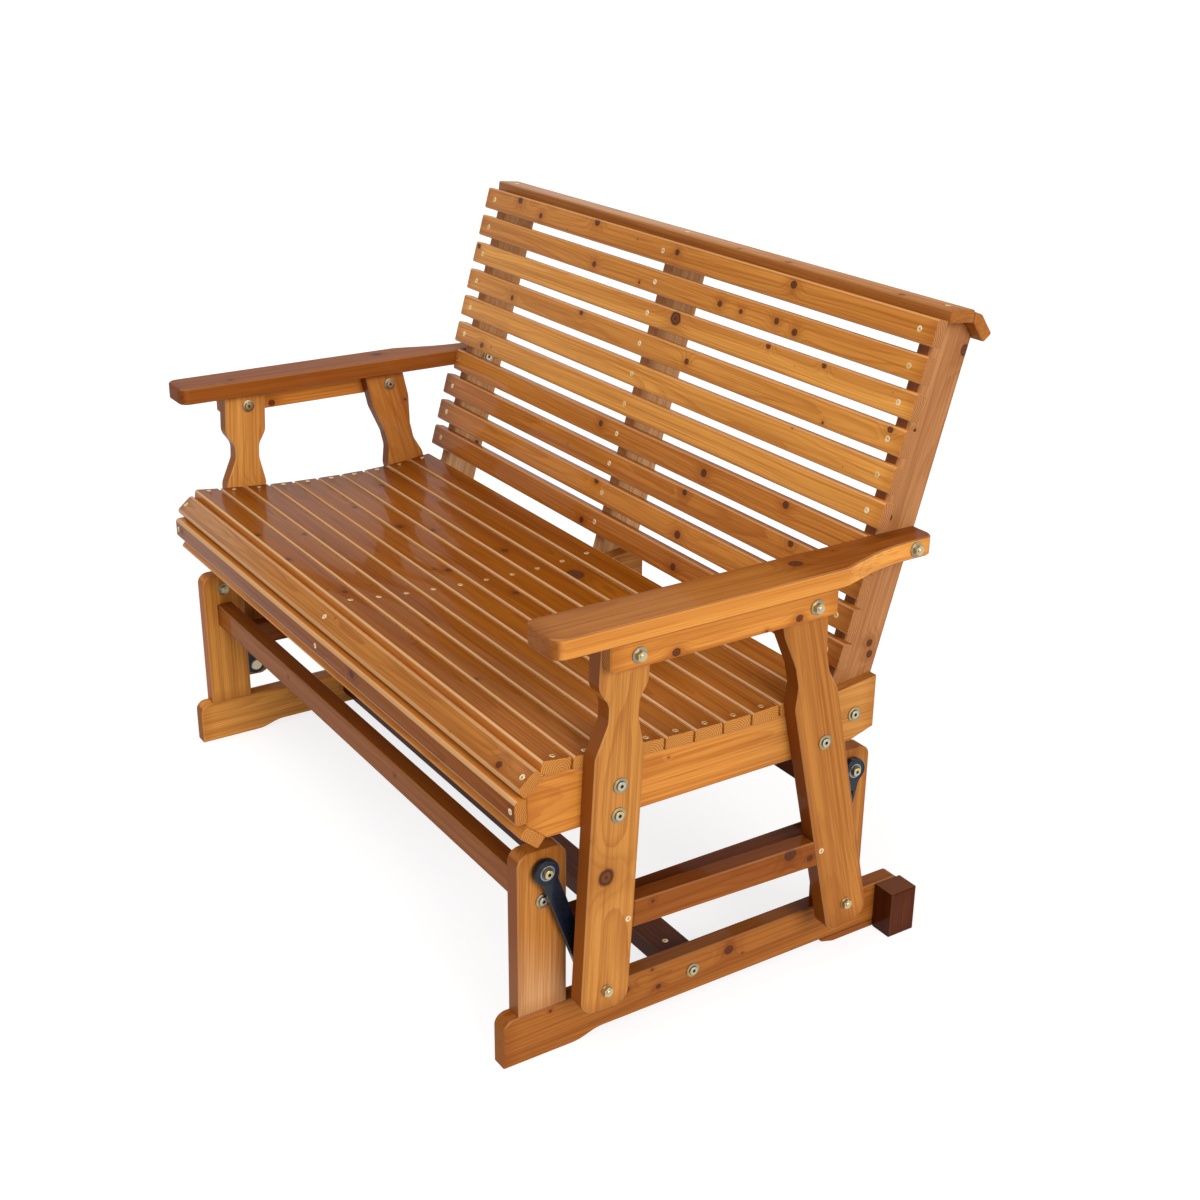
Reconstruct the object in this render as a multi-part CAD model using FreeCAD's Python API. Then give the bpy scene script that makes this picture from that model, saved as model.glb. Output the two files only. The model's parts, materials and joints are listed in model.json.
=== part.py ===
import FreeCAD, Part
import math
import os

V = FreeCAD.Vector

# A two-seat porch glider: a slatted cedar bench hung by four swing links from a low base.
# X runs along the bench, right being +X; the sitter faces -Y; the floor is at Z = 0.
# Every size is in millimetres and every angle in degrees.

# Stock the bench is cut from
board = 28.6                  # thickness of the frame boards
board_wide = 76.0             # width of rails, posts, legs and armrests
stretcher_deep = 41.3         # width of stretchers and arm cleats
cleat_thick = 19.1
upright_thick = 25.4
upright_deep = 70.0
seat_slat_thick = 19.0
thin_slat_thick = 18.0        # back, nose, cap and roll slats
wide_slat = 44.0              # flat seat slats and the cap slat
back_slat_wide = 38.0
nose_slat_wide = 35.5
arris = 2.0                   # bevel round the flat faces of boards and along slats

# Clearances
slat_gap = 0.5                # between slats that meet at a corner
bolt_clear = 0.3              # round a bolt in wood
thread_clear = 0.05           # round a bolt in its nut or a screw in its pilot hole
running_clear = 0.05          # round a pivot in its bearing
press_clear = 0.01            # round a bearing in its eye
side_clear = 0.3              # beside a swinging link
tenon_clear = 0.1

# Lengths along X
seat_length = 1214.0          # slats, which also sets the legs apart
lower_spacer_long = 15.0
upper_spacer_long = 5.1
link_thick = 9.0
housing_deep = 11.0           # of each back upright in its side rail
cleat_screw_count = 3         # up into each armrest

# Base frame
rail_high = 76.0
rail_relief = 10.0            # the rail's middle stands this far off the floor
post_long = 252.0
post_round = 18.0
toe_long = 23.7               # rail ahead of the front post
toe_flat = 120.0
toe_round = 17.0
ogee_long = 30.0
ogee_round = 70.0
heel_long = 82.0              # rail behind the rear post
heel_round = 12.0
pad_long = 150.0              # strip under the rail's rear end
pad_taper = 22.0
pad_nose = 4.0
stop_block_long = 49.0
stop_block_wide = 41.1
front_cross_z = 251.0
rear_cross_z = 255.5
lower_cross_y = -66.5
lower_cross_z = 46.7
lower_cross_wide = 55.0
base_side_stretcher_z = 193.8
tenon_thick = 12.0
tenon_deep = 26.0
tenon_long = 20.0

# Swing links
link_length = 192.0           # between pivot centres
front_pivot_y = -319.0
rear_pivot_y = 208.0
pivot_below_post_top = 28.0
front_link_tilt = 19.6        # lower end swung back at rest
rear_link_tilt = -12.6        # lower end swung forward at rest
eye_dia = 38.0
shank_wide = 24.0
shank_blend = 14.0            # radius where the shank runs into an eye
groove_wide = 12.0
groove_deep = 2.0
groove_from_eye = 12.0
link_edge = 1.0

# Legs, set out along their centre lines
front_leg_tilt = 2.94
rear_leg_tilt = -12.5
front_leg_foot = 32.0         # below the pivot
rear_leg_foot = 39.0
leg_foot_round = 22.0
leg_top_z = 640.0
side_stretcher_front_z = 223.6
side_stretcher_rear_z = 215.0
front_head_end = 72.0         # waist, measured down from the leg's top
front_neck_top = 96.0
front_neck_end = 122.0
front_waist_end = 168.0
front_leg_front_cut = 17.5    # waist, measured in from each edge
front_leg_rear_cut = 12.5
rear_head_end = 60.0
rear_neck_top = 115.0
rear_neck_end = 146.0
rear_waist_end = 178.0
rear_leg_front_cut = 11.0
rear_leg_rear_cut = 10.5
waist_round = 26.0

# Seat
seat_rail_bottom_z = 364.0
nose_y = -359.0
nose_low_z = 390.0
nose_high_z = 433.0
nose_bevel = 40.4             # slope of the bevel above the nose
under_bevel = 40.0            # slope of the bevel below it
seat_rail_rear_y = 222.0
rail_heel_long = 43.0         # rear lower corner cut off the seat rails
rail_heel_high = 13.0
seat_slat_count = 10
seat_slat_pitch = 47.88
seat_slat_first_y = -314.0
seat_low_y = -13.0            # lowest point of the dished seat
seat_low_z = 456.3
seat_front_radius = 2440.0
seat_rear_radius = 1087.0
centre_rail_x = -0.6

# Back
back_tilt = 16.11
back_foot_y = 3.6             # where the face of the back slats would reach the floor
back_slat_count = 10
top_slat_drop = 16.16         # down the back, from the uprights' front corner to a slat's middle
low_slat_rise = 141.32        # up the back, from the uprights' foot to a slat's middle
upright_top_z = 958.0
cap_slope = 6.0
cap_setback = 3.2
roll_slope = 54.4
roll_slat_wide = 35.8
roll_shoulder = 15.4

# Armrests
arm_front_over = 87.0         # ahead of the front leg
arm_rear_over = 3.0           # behind the upright
arm_inner_round = 18.0
arm_outer_round = 20.0
arm_shoulder_over = 3.0       # straight outer edge past the cleat
arm_shoulder_round = 60.0
arm_ogee_long = 96.0
arm_ogee_round = 300.0
arm_tail_wide = 45.5
arm_tail_round = 15.0
cleat_corner = 6.0

# Hardware
bolt_dia = 8.0
hex_flats = 13.0
head_high = 2.5               # low, because the links swing past the heads in the posts
head_dia = 14.0
lag_head_high = 5.3
nut_high = 6.5
bolt_stub = 2.0               # bolt end showing past its nut
washer_dia = 22.0
washer_thick = 2.0
pivot_washer_dia = 14.5
spacer_dia = 16.0
pivot_head_high = 3.2
pivot_head_dia = 20.0
bearing_dia = 22.0
barrel_dia = 12.0             # cross dowel with the thread in it
barrel_long = 22.0
barrel_from_end = 35.0
bolt_past_barrel = 6.0
lag_bite = 60.0               # in the post's end grain
lag_spread = 40.0
lag_recess_dia = 24.0
lag_recess_deep = 9.0
wood_screw_dia = 5.0
wood_screw_head = 9.5
wood_screw_bite = 18.0
wood_screw_recess = 14.0
shank_side_count = 8          # flats round the bolts, screws and dowels, and their bores
washer_side_count = 12        # flats round the washers, spacers and low heads
leg_bolt_low_z = 385.0
leg_bolt_high_z = 428.0
rear_leg_bolt_z = 395.7
leg_bolt_back = 2.4           # behind the leg's centre line
cleat_bolt_drop = 22.8        # below the armrest
cleat_bolt_back = 5.5
upright_bolt_z = 407.0
upright_bolt_back = 6.0
tail_bolt_back = 2.0

# Layers along X, worked outwards in from the legs
leg_inner = seat_length / 2
leg_outer = leg_inner + board
cleat_outer = leg_outer + cleat_thick
link_outer = leg_inner - lower_spacer_long
link_inner = link_outer - link_thick
post_outer = link_inner - upper_spacer_long
post_inner = post_outer - board
side_rail_inner = leg_inner - board
upright_outer = side_rail_inner + housing_deep
upright_inner = upright_outer - upright_thick
arm_outer = upright_outer + board_wide
centre_rail_left = centre_rail_x - board / 2
centre_rail_right = centre_rail_x + board / 2
centre_upright_left = centre_rail_left - upright_thick
half_wide = board_wide / 2


# Side view geometry: points and lines in the Y-Z plane

def at(y, z):
    """A point of the side view."""
    return V(0, y, z)


def heading(angle):
    """Direction turned from +Y towards +Z."""
    return at(math.cos(math.radians(angle)), math.sin(math.radians(angle)))


def left_of(direction):
    """The direction a quarter turn on, from +Y towards +Z."""
    return at(-direction.z, direction.y)


def shifted(line, distance):
    """The parallel line this far to the left."""
    point, direction = line
    return point + left_of(direction) * distance, direction


def meet(first, second):
    """Where two lines cross."""
    p, d = first
    q, e = second
    turn = d.y * e.z - d.z * e.y
    along = ((q.y - p.y) * e.z - (q.z - p.z) * e.y) / turn
    return p + d * along


def level(z):
    """The level line at this height."""
    return at(0, z), at(1, 0)


def plumb(y):
    """The upright line at this depth."""
    return at(y, 0), at(0, 1)


# Solids

def rounded_wire(corners):
    """Closed wire through (point, radius) corners, each rounded by a tangent arc."""
    starts = []
    ends = []
    arcs = []
    for index, (point, radius) in enumerate(corners):
        before = (corners[index - 1][0] - point).normalize()
        after = (corners[(index + 1) % len(corners)][0] - point).normalize()
        if radius == 0:
            starts.append(point)
            ends.append(point)
            arcs.append(None)
            continue
        half_angle = before.getAngle(after) / 2
        reach = radius / math.tan(half_angle)
        middle = point + (before + after).normalize() * (radius / math.sin(half_angle) - radius)
        starts.append(point + before * reach)
        ends.append(point + after * reach)
        arcs.append(Part.Arc(starts[-1], middle, ends[-1]).toShape())
    edges = []
    for index, arc in enumerate(arcs):
        if arc:
            edges.append(arc)
        following = starts[(index + 1) % len(starts)]
        if ends[index].distanceToPoint(following) > 1e-4:
            edges.append(Part.LineSegment(ends[index], following).toShape())
    return Part.Wire(edges)


def prism(corners, push, bevel=0.0):
    """An outline pushed into a board, its two flat faces bevelled all round."""
    solid = Part.Face(rounded_wire(corners)).extrude(push)
    if bevel:
        flats = [face for face in solid.Faces if abs(face.normalAt(0, 0).dot(push)) > 0.99 * push.Length]
        rims = [edge for face in flats for edge in face.Edges]
        solid = solid.makeChamfer(bevel, rims)
    return solid


def side_board(corners, x_low, x_high, bevel=arris):
    """A board seen from the side, between two X positions."""
    placed = [(point + V(x_low, 0, 0), radius) for point, radius in corners]
    return prism(placed, V(x_high - x_low, 0, 0), bevel)


def eased(bar):
    """The same bar with its edges along X bevelled."""
    return bar.makeChamfer(arris, [edge for edge in bar.Edges if abs(edge.tangentAt(0).x) > 0.99])


def cross_bar(foot, along, wide, thick, x_end):
    """A bar across the bench: its seated face is centred on foot and lies along this direction."""
    out = left_of(along) * thick
    low = foot - along * (wide / 2)
    high = foot + along * (wide / 2)
    corners = [(low, 0), (high, 0), (high + out, 0), (low + out, 0)]
    return eased(side_board(corners, -x_end, x_end, 0))


def cylinder(start, end, dia):
    """Round bar between two points."""
    span = end - start
    return Part.makeCylinder(dia / 2, span.Length, start, span)


def corner_radius(across_flats, flats):
    """Corner radius of a regular section that measures this across its flats."""
    return across_flats / 2 / math.cos(math.pi / flats)


def flat_sided(start, end, radius, flats):
    """Bar of a regular section between two points, its corners this far from its axis."""
    axis = (end - start).normalize()
    side = axis.cross(V(0, 1, 1)).normalize()
    corners = []
    for index in range(flats):
        turn = FreeCAD.Rotation(axis, 360 / flats * index)
        corners.append((start + turn.multVec(side) * radius, 0))
    return prism(corners, end - start)


def rod(start, end, dia, flats=shank_side_count):
    """Bolt shank, dowel or washer blank, whose corners lie on its diameter."""
    return flat_sided(start, end, dia / 2, flats)


def bore(start, end, dia, flats=shank_side_count):
    """Tool for a drilled hole, whose flats lie on its diameter."""
    return flat_sided(start, end, corner_radius(dia, flats), flats)


def along_x(point, x_low, x_high):
    """The two ends of a line along X through a point of the side view."""
    return V(x_low, point.y, point.z), V(x_high, point.y, point.z)


def spacer(start, end):
    """Sleeve round a pivot between two points."""
    through = bore(start, end, bolt_dia + 2 * thread_clear, washer_side_count)
    return rod(start, end, spacer_dia, washer_side_count).cut(through)


def hexagon(start, end):
    """Hexagonal head or nut blank between two points."""
    return flat_sided(start, end, corner_radius(hex_flats, 6), 6)


def headed(face, tip, around, head_blank):
    """Shank, washer and head in one, from the face that the washer lies on to the shank's tip."""
    out = (face - tip).normalize()
    seat = face + out * washer_thick
    pieces = [rod(face, seat, around, washer_side_count), head_blank(seat, out)]
    return rod(seat, tip, bolt_dia).fuse(pieces).removeSplitter()


def bolt(face, tip, around=washer_dia):
    """Bolt with a low round head, and its washer."""
    def low_head(seat, out):
        return rod(seat, seat + out * head_high, head_dia, washer_side_count)

    return headed(face, tip, around, low_head)


def lag_screw(face, tip):
    """Hex lag screw and its washer."""
    def hex_head(seat, out):
        return hexagon(seat, seat + out * lag_head_high)

    return headed(face, tip, washer_dia, hex_head)


def nut(face, out, around=washer_dia):
    """Hex nut and its washer, lying on face and reaching out, and where its bolt's tip comes."""
    seat = face + out * washer_thick
    end = seat + out * nut_high
    through = bore(face, end, bolt_dia + 2 * thread_clear)
    whole = hexagon(seat, end).fuse(rod(face, seat, around, washer_side_count))
    return whole.cut(through), end + out * bolt_stub


def bolted(point, head_x, nut_x):
    """Bolt and nut along X, from the wood under the head to the wood under the nut."""
    out = V(math.copysign(1, head_x - nut_x), 0, 0)
    head_face, nut_face = along_x(point, head_x, nut_x)
    end_nut, tip = nut(nut_face, out * -1)
    return [bolt(head_face, tip), end_nut]


def hole(point, x_low, x_high):
    """Bolt hole drilled along X right through the wood between two X positions."""
    start, end = along_x(point, x_low - 1, x_high + 1)
    return bore(start, end, bolt_dia + 2 * bolt_clear)


def mirrored(shape):
    """The same piece on the other side."""
    return shape.mirror(V(0, 0, 0), V(1, 0, 0))


def save(name, *shapes):
    """Writes one node, whose pieces stay separate solids."""
    solids = [solid for shape in shapes for solid in shape.Solids]
    shape = solids[0] if len(solids) == 1 else Part.makeCompound(solids)
    shape.exportStep(os.path.join("parts", name + ".step"))


def save_pair(name, shape):
    """Writes a right piece and its mirror image on the left."""
    save("right_" + name, shape)
    save("left_" + name, mirrored(shape))


def both_sides(solids):
    """Right-hand pieces and their mirror images."""
    return solids + [mirrored(solid) for solid in solids]


# Layout of the swing: pivots and leaning legs

post_top_z = rail_high + post_long
upper_pivot_z = post_top_z - pivot_below_post_top


def lower_pivot(pivot_y, swing):
    """Lower end of a link that hangs at this angle."""
    return at(pivot_y, upper_pivot_z) + heading(swing - 90) * link_length


front_upper = at(front_pivot_y, upper_pivot_z)
rear_upper = at(rear_pivot_y, upper_pivot_z)
front_lower = lower_pivot(front_pivot_y, front_link_tilt)
rear_lower = lower_pivot(rear_pivot_y, rear_link_tilt)


class Leg:
    """A leaning leg in side view, set out from its pivot along its centre line."""

    def __init__(self, pivot, tilt, foot, waist, cuts):
        self.pivot = pivot
        self.up = heading(90 - tilt)
        self.back = left_of(self.up) * -1
        self.foot = foot
        self.waist = waist
        self.cuts = cuts

    def line(self, across):
        """Line along the leg, this far behind its centre line."""
        return self.pivot + self.back * across, self.up

    def behind(self, z, across=0.0):
        """Point at this height, this far behind the centre line."""
        return meet(self.line(0), level(z)) + at(across, 0)

    def edge_points(self, side, cut):
        """Corners up one edge: side is -1 for the front edge and 1 for the rear."""
        edge, neck = side * half_wide, side * (half_wide - cut)
        top = (meet(self.line(0), level(leg_top_z)) - self.pivot).Length
        head_end, neck_top, neck_end, waist_end = self.waist
        steps = [
            (-self.foot, edge, leg_foot_round),
            (top - waist_end, edge, waist_round),
            (top - neck_end, neck, waist_round),
            (top - neck_top, neck, waist_round),
            (top - head_end, edge, waist_round),
        ]
        points = [(self.pivot + self.up * along + self.back * across, r) for along, across, r in steps]
        points.append((meet(self.line(edge), level(leg_top_z)), 0))
        return points

    def outline(self):
        """Front edge upwards, then rear edge downwards."""
        front_cut, rear_cut = self.cuts
        return self.edge_points(-1, front_cut) + self.edge_points(1, rear_cut)[::-1]


front_leg = Leg(
    front_lower,
    front_leg_tilt,
    front_leg_foot,
    (front_head_end, front_neck_top, front_neck_end, front_waist_end),
    (front_leg_front_cut, front_leg_rear_cut),
)
rear_leg = Leg(
    rear_lower,
    rear_leg_tilt,
    rear_leg_foot,
    (rear_head_end, rear_neck_top, rear_neck_end, rear_waist_end),
    (rear_leg_front_cut, rear_leg_rear_cut),
)


def tenoned_stretcher(centre, front_edge, rear_edge, x_low, x_high):
    """Stretcher between two members with a stub tenon at each end, and the tenons' mortise tool."""
    direction = centre[1]
    top = shifted(centre, stretcher_deep / 2)
    bottom = shifted(centre, -stretcher_deep / 2)
    corners = [
        (meet(bottom, front_edge), 0),
        (meet(bottom, rear_edge), 0),
        (meet(top, rear_edge), 0),
        (meet(top, front_edge), 0),
    ]
    middle_x = (x_low + x_high) / 2

    def tongue(clear):
        start = meet(centre, front_edge) - direction * (tenon_long + clear)
        end = meet(centre, rear_edge) + direction * (tenon_long + clear)
        rise = left_of(direction) * (tenon_deep / 2 + clear)
        around = [(start - rise, 0), (end - rise, 0), (end + rise, 0), (start + rise, 0)]
        half = tenon_thick / 2 + clear
        return side_board(around, middle_x - half, middle_x + half, 0)

    body = side_board(corners, x_low, x_high)
    return body.fuse(tongue(0)).removeSplitter(), tongue(tenon_clear)


# Base frame

toe_y = front_pivot_y - half_wide - toe_long
heel_y = rear_pivot_y + half_wide + heel_long


def foot_rail():
    """Rail with a rounded toe, an ogee and a relief under its middle and heel."""
    corners = [
        (at(toe_y, rail_high), toe_round),
        (at(toe_y, 0), 0),
        (at(toe_y + toe_flat, 0), ogee_round),
        (at(toe_y + toe_flat + ogee_long, rail_relief), ogee_round),
        (at(heel_y, rail_relief), 0),
        (at(heel_y, rail_high), heel_round),
    ]
    return side_board(corners, post_inner, post_outer)


def rear_foot_pad():
    """Strip that fills the relief under the rail's heel, tapered at its front end."""
    front = heel_y - pad_long
    corners = [
        (at(front, rail_relief), 0),
        (at(front, rail_relief - pad_nose), 0),
        (at(front + pad_taper, 0), pad_taper),
        (at(heel_y, 0), 0),
        (at(heel_y, rail_relief), 0),
    ]
    return side_board(corners, post_inner, post_outer, 0)


def stop_block():
    """Block outboard of the rail's heel that the rear leg reaches at the end of its swing."""
    front = heel_y - stop_block_long
    corners = [
        (at(front, 0), 0),
        (at(heel_y, 0), 0),
        (at(heel_y, rail_high), 0),
        (at(front, rail_high), 0),
    ]
    return side_board(corners, post_outer, post_outer + stop_block_wide)


def post(centre_y):
    """Post standing on the foot rail."""
    corners = [
        (at(centre_y - half_wide, rail_high), 0),
        (at(centre_y - half_wide, post_top_z), post_round),
        (at(centre_y + half_wide, post_top_z), post_round),
        (at(centre_y + half_wide, rail_high), 0),
    ]
    return side_board(corners, post_inner, post_outer)


def barrel_bolt(point, open_side):
    """Bolt, washer and cross dowel that pull a cross stretcher onto the right-hand frame."""
    out = V(1, 0, 0)
    barrel_x = post_inner - barrel_from_end
    face, middle = along_x(point, post_outer, barrel_x)
    tip = middle - out * bolt_past_barrel
    half = open_side * (barrel_long / 2)
    thread = bore(middle + out * barrel_dia, tip - out * barrel_dia, bolt_dia + 2 * thread_clear)
    return [bolt(face, tip), rod(middle - half, middle + half, barrel_dia).cut(thread)]


def barrel_holes(point, open_side, depth):
    """Bolt hole and cross dowel hole in both ends of a cross stretcher."""
    barrel_x = post_inner - barrel_from_end
    bolt_start, middle = along_x(point, post_inner + 1, barrel_x)
    bolt_end = middle - V(bolt_past_barrel + 1, 0, 0)
    back = middle - open_side * (barrel_long / 2)
    mouth = middle + open_side * (depth / 2 + 1)
    tools = [
        bore(bolt_start, bolt_end, bolt_dia + 2 * bolt_clear),
        bore(back, mouth, barrel_dia + 2 * thread_clear),
    ]
    return both_sides(tools)


def lag_screws(centre_y, rail_bottom):
    """Two lag screws with washers up through the right-hand rail into a post."""
    solids = []
    x = (post_inner + post_outer) / 2
    for y in (centre_y - lag_spread / 2, centre_y + lag_spread / 2):
        solids.append(lag_screw(V(x, y, rail_bottom + lag_recess_deep), V(x, y, rail_high + lag_bite)))
    return solids


def lag_holes(centre_y, rail_bottom):
    """Recess, clearance hole and pilot hole for each lag screw: the rail's, then the post's."""
    in_rail = []
    in_post = []
    x = (post_inner + post_outer) / 2
    for y in (centre_y - lag_spread / 2, centre_y + lag_spread / 2):
        mouth = V(x, y, rail_bottom - 1)
        under = V(x, y, rail_bottom + lag_recess_deep)
        top = V(x, y, rail_high)
        in_rail.append(bore(mouth, under, lag_recess_dia))
        in_rail.append(bore(under, top + V(0, 0, 1), bolt_dia + 2 * bolt_clear))
        in_post.append(bore(top - V(0, 0, 1), top + V(0, 0, lag_bite + 1), bolt_dia + 2 * thread_clear))
    return in_rail, in_post


def pivot_bolt(point):
    """Bolt with a small washer, spacer, and nut of an upper pivot on the right."""
    out = V(1, 0, 0)
    post_face, link_face = along_x(point, post_outer, link_outer + side_clear)
    end_nut, tip = nut(post_face - out * board, out * -1)
    sleeve = spacer(post_face, post_face + out * (upper_spacer_long - side_clear))
    return [bolt(link_face, tip, pivot_washer_dia), sleeve, end_nut]


def make_base():
    """Writes the nodes of the base frame."""
    front_cross = at(front_pivot_y, front_cross_z)
    rear_cross = at(rear_pivot_y, rear_cross_z)
    lower_cross = at(lower_cross_y, lower_cross_z)
    inward = {"front": at(1, 0), "rear": at(-1, 0), "lower": at(0, -1)}

    stretcher, mortises = tenoned_stretcher(
        (at(0, base_side_stretcher_z), at(1, 0)),
        plumb(front_pivot_y + half_wide),
        plumb(rear_pivot_y - half_wide),
        post_inner,
        post_outer,
    )
    save_pair("base_side_stretcher", stretcher)

    rail = foot_rail().cut(hole(lower_cross, post_inner, post_outer))
    lags = []
    for name, pivot, cross, bottom in (
        ("front_post", front_upper, front_cross, 0),
        ("rear_post", rear_upper, rear_cross, rail_relief),
    ):
        in_rail, in_post = lag_holes(pivot.y, bottom)
        rail = rail.cut(in_rail)
        bores = [hole(pivot, post_inner, post_outer), hole(cross, post_inner, post_outer), mortises]
        save_pair(name, post(pivot.y).cut(bores + in_post))
        lags += lag_screws(pivot.y, bottom)
    save_pair("foot_rail", rail)
    save_pair("rear_foot_pad", rear_foot_pad())
    save_pair("stop_block", stop_block())
    save("base_lag_screws", *both_sides(lags))

    bolts = []
    for name, centre, open_side, thick, deep, wide in (
        ("front", front_cross, inward["front"], board, board, stretcher_deep),
        ("rear", rear_cross, inward["rear"], board, board, stretcher_deep),
        ("lower", lower_cross, inward["lower"], lower_cross_wide, board, board),
    ):
        foot = centre + at(thick / 2, 0)
        bar = cross_bar(foot, at(0, 1), wide, thick, post_inner)
        save(name + "_cross_stretcher", bar.cut(barrel_holes(centre, open_side, deep)))
        bolts += barrel_bolt(centre, open_side)
    save("base_bolts", *both_sides(bolts))
    save("upper_pivot_bolts", *both_sides(pivot_bolt(front_upper) + pivot_bolt(rear_upper)))


# Swing links

def swing_link(upper, lower):
    """Cast link: an eye at each end, a shank with blended shoulders and a groove down each face."""
    down = (lower - upper).normalize()
    side = left_of(down)
    start = upper + V(link_inner, 0, 0)
    push = V(link_thick, 0, 0)
    half = shank_wide / 2
    eye = eye_dia / 2
    # The blend arc touches both the eye and the shank's straight edge
    blend_across = half + shank_blend
    blend_along = math.sqrt((eye + shank_blend) ** 2 - blend_across ** 2)

    def spot(along, across):
        return start + down * along + side * across

    def blend(end, inwards, across):
        """Arc from the eye's rim to the shank's edge on one side of one end."""
        centre = spot(end + inwards * blend_along, across * blend_across)
        eye_centre = spot(end, 0)
        on_eye = eye_centre + (centre - eye_centre).normalize() * eye
        on_shank = spot(end + inwards * blend_along, across * half)
        towards = ((on_eye - centre).normalize() + (on_shank - centre).normalize()).normalize()
        return on_eye, Part.Arc(on_eye, centre + towards * shank_blend, on_shank).toShape(), on_shank

    edges = []
    top = [blend(0, 1, across) for across in (-1, 1)]
    bottom = [blend(link_length, -1, across) for across in (-1, 1)]
    for (_, upper_arc, upper_end), (_, lower_arc, lower_end) in zip(top, bottom):
        edges += [upper_arc, Part.LineSegment(upper_end, lower_end).toShape(), lower_arc]
    edges.append(Part.Arc(top[0][0], spot(-eye, 0), top[1][0]).toShape())
    edges.append(Part.Arc(bottom[0][0], spot(link_length + eye, 0), bottom[1][0]).toShape())
    outline = Part.Wire(Part.__sortEdges__(edges))
    body = Part.Face(outline).extrude(push)
    rims = [edge for face in body.Faces if abs(face.normalAt(0, 0).x) > 0.99 for edge in face.Edges]
    body = body.makeChamfer(link_edge, rims)

    # Each groove narrows at both ends
    low, high = eye + groove_from_eye, link_length - eye - groove_from_eye
    rim = groove_wide / 2
    one_side = [(low, rim / 2), (low + rim / 2, rim), (high - rim / 2, rim), (high, rim / 2)]
    around = one_side + [(along, -across) for along, across in one_side[::-1]]
    for x in (0, link_thick - groove_deep):
        corners = [(spot(along, across) + V(x, 0, 0), 0) for along, across in around]
        body = body.cut(prism(corners, V(groove_deep, 0, 0)))
    seats = [along_x(end, link_inner, link_outer) for end in (upper, lower)]
    return body.cut([cylinder(*seat, bearing_dia + 2 * press_clear) for seat in seats])


def bearing(point):
    """Bearing as thick as the link, its bore running on the pivot."""
    start, end = along_x(point, link_inner, link_outer)
    return cylinder(start, end, bearing_dia).cut(cylinder(start, end, bolt_dia + 2 * running_clear))


def make_links():
    """Writes the links, their bearings and the rear links' lower pins."""
    save_pair("front_link", swing_link(front_upper, front_lower))
    save_pair("rear_link", swing_link(rear_upper, rear_lower))
    save("front_link_bearings", *both_sides([bearing(front_upper), bearing(front_lower)]))
    save("rear_link_bearings", *both_sides([bearing(rear_upper), bearing(rear_lower)]))
    save("rear_link_pins", *both_sides([pivot_stud(rear_lower, link_outer)]))


def pivot_stud(point, end_x):
    """Low round head on the link's inner side with a shank reaching out to end_x."""
    head_start, head_end = along_x(point, link_inner - side_clear - pivot_head_high, link_inner - side_clear)
    shank_end = along_x(point, link_inner, end_x)[1]
    head = rod(head_start, head_end, pivot_head_dia, washer_side_count)
    return head.fuse(rod(head_end, shank_end, bolt_dia)).removeSplitter()


# Seat frame

def seat_line(slat):
    """Top face of a flat seat slat: its middle and its direction, tangent to the dished seat."""
    y = seat_slat_first_y + slat * seat_slat_pitch
    radius = seat_front_radius if y < seat_low_y else seat_rear_radius
    slope = math.asin((y - seat_low_y) / radius)
    z = seat_low_z + radius * (1 - math.cos(slope))
    return at(y, z), heading(math.degrees(slope))


def seated_line(slat):
    """Facet of the seat rails under a flat seat slat."""
    return shifted(seat_line(slat), -seat_slat_thick)


nose_point = at(nose_y, nose_high_z)
nose_line = nose_point, heading(nose_bevel)
under_point = at(nose_y, nose_low_z)
under_line = under_point, heading(180 - under_bevel)

back_up = heading(90 - back_tilt)
back_face = at(back_foot_y, 0), back_up
upright_front = shifted(back_face, -thin_slat_thick)
upright_rear = shifted(upright_front, -upright_deep)
upright_middle = shifted(upright_front, -upright_deep / 2)
cap_line = meet(upright_front, level(upright_top_z)), heading(-cap_slope)
cap_start = cap_line[0] + cap_line[1] * cap_setback
roll_start = cap_start + cap_line[1] * wide_slat
roll_line = roll_start, heading(-roll_slope)


def seat_rail(x_low, x_high):
    """Rail under the seat: a three-faced nose and a facet for every slat along its dished top."""
    facets = [seated_line(slat) for slat in range(seat_slat_count)]
    tops = [meet(nose_line, facets[0])]
    tops += [meet(facets[i], facets[i + 1]) for i in range(seat_slat_count - 1)]
    tops.append(meet(facets[-1], plumb(seat_rail_rear_y)))
    heel = at(seat_rail_rear_y, seat_rail_bottom_z)
    points = [
        meet(under_line, level(seat_rail_bottom_z)),
        under_point,
        nose_point,
        *tops,
        heel + at(0, rail_heel_high),
        heel - at(rail_heel_long, 0),
    ]
    return side_board([(point, 0) for point in points], x_low, x_high)


def upright_outline():
    """Back upright with a sloping top for the cap and a steep facet for the roll slat."""
    points = [
        meet(upright_front, level(seat_rail_bottom_z)),
        meet(upright_rear, level(seat_rail_bottom_z)),
        meet(upright_rear, roll_line),
        roll_start,
        cap_line[0],
    ]
    return [(point, 0) for point in points]


def upright_point(z, back):
    """Point at this height, this far behind the upright's middle."""
    return meet(upright_middle, level(z)) + at(back, 0)


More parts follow.
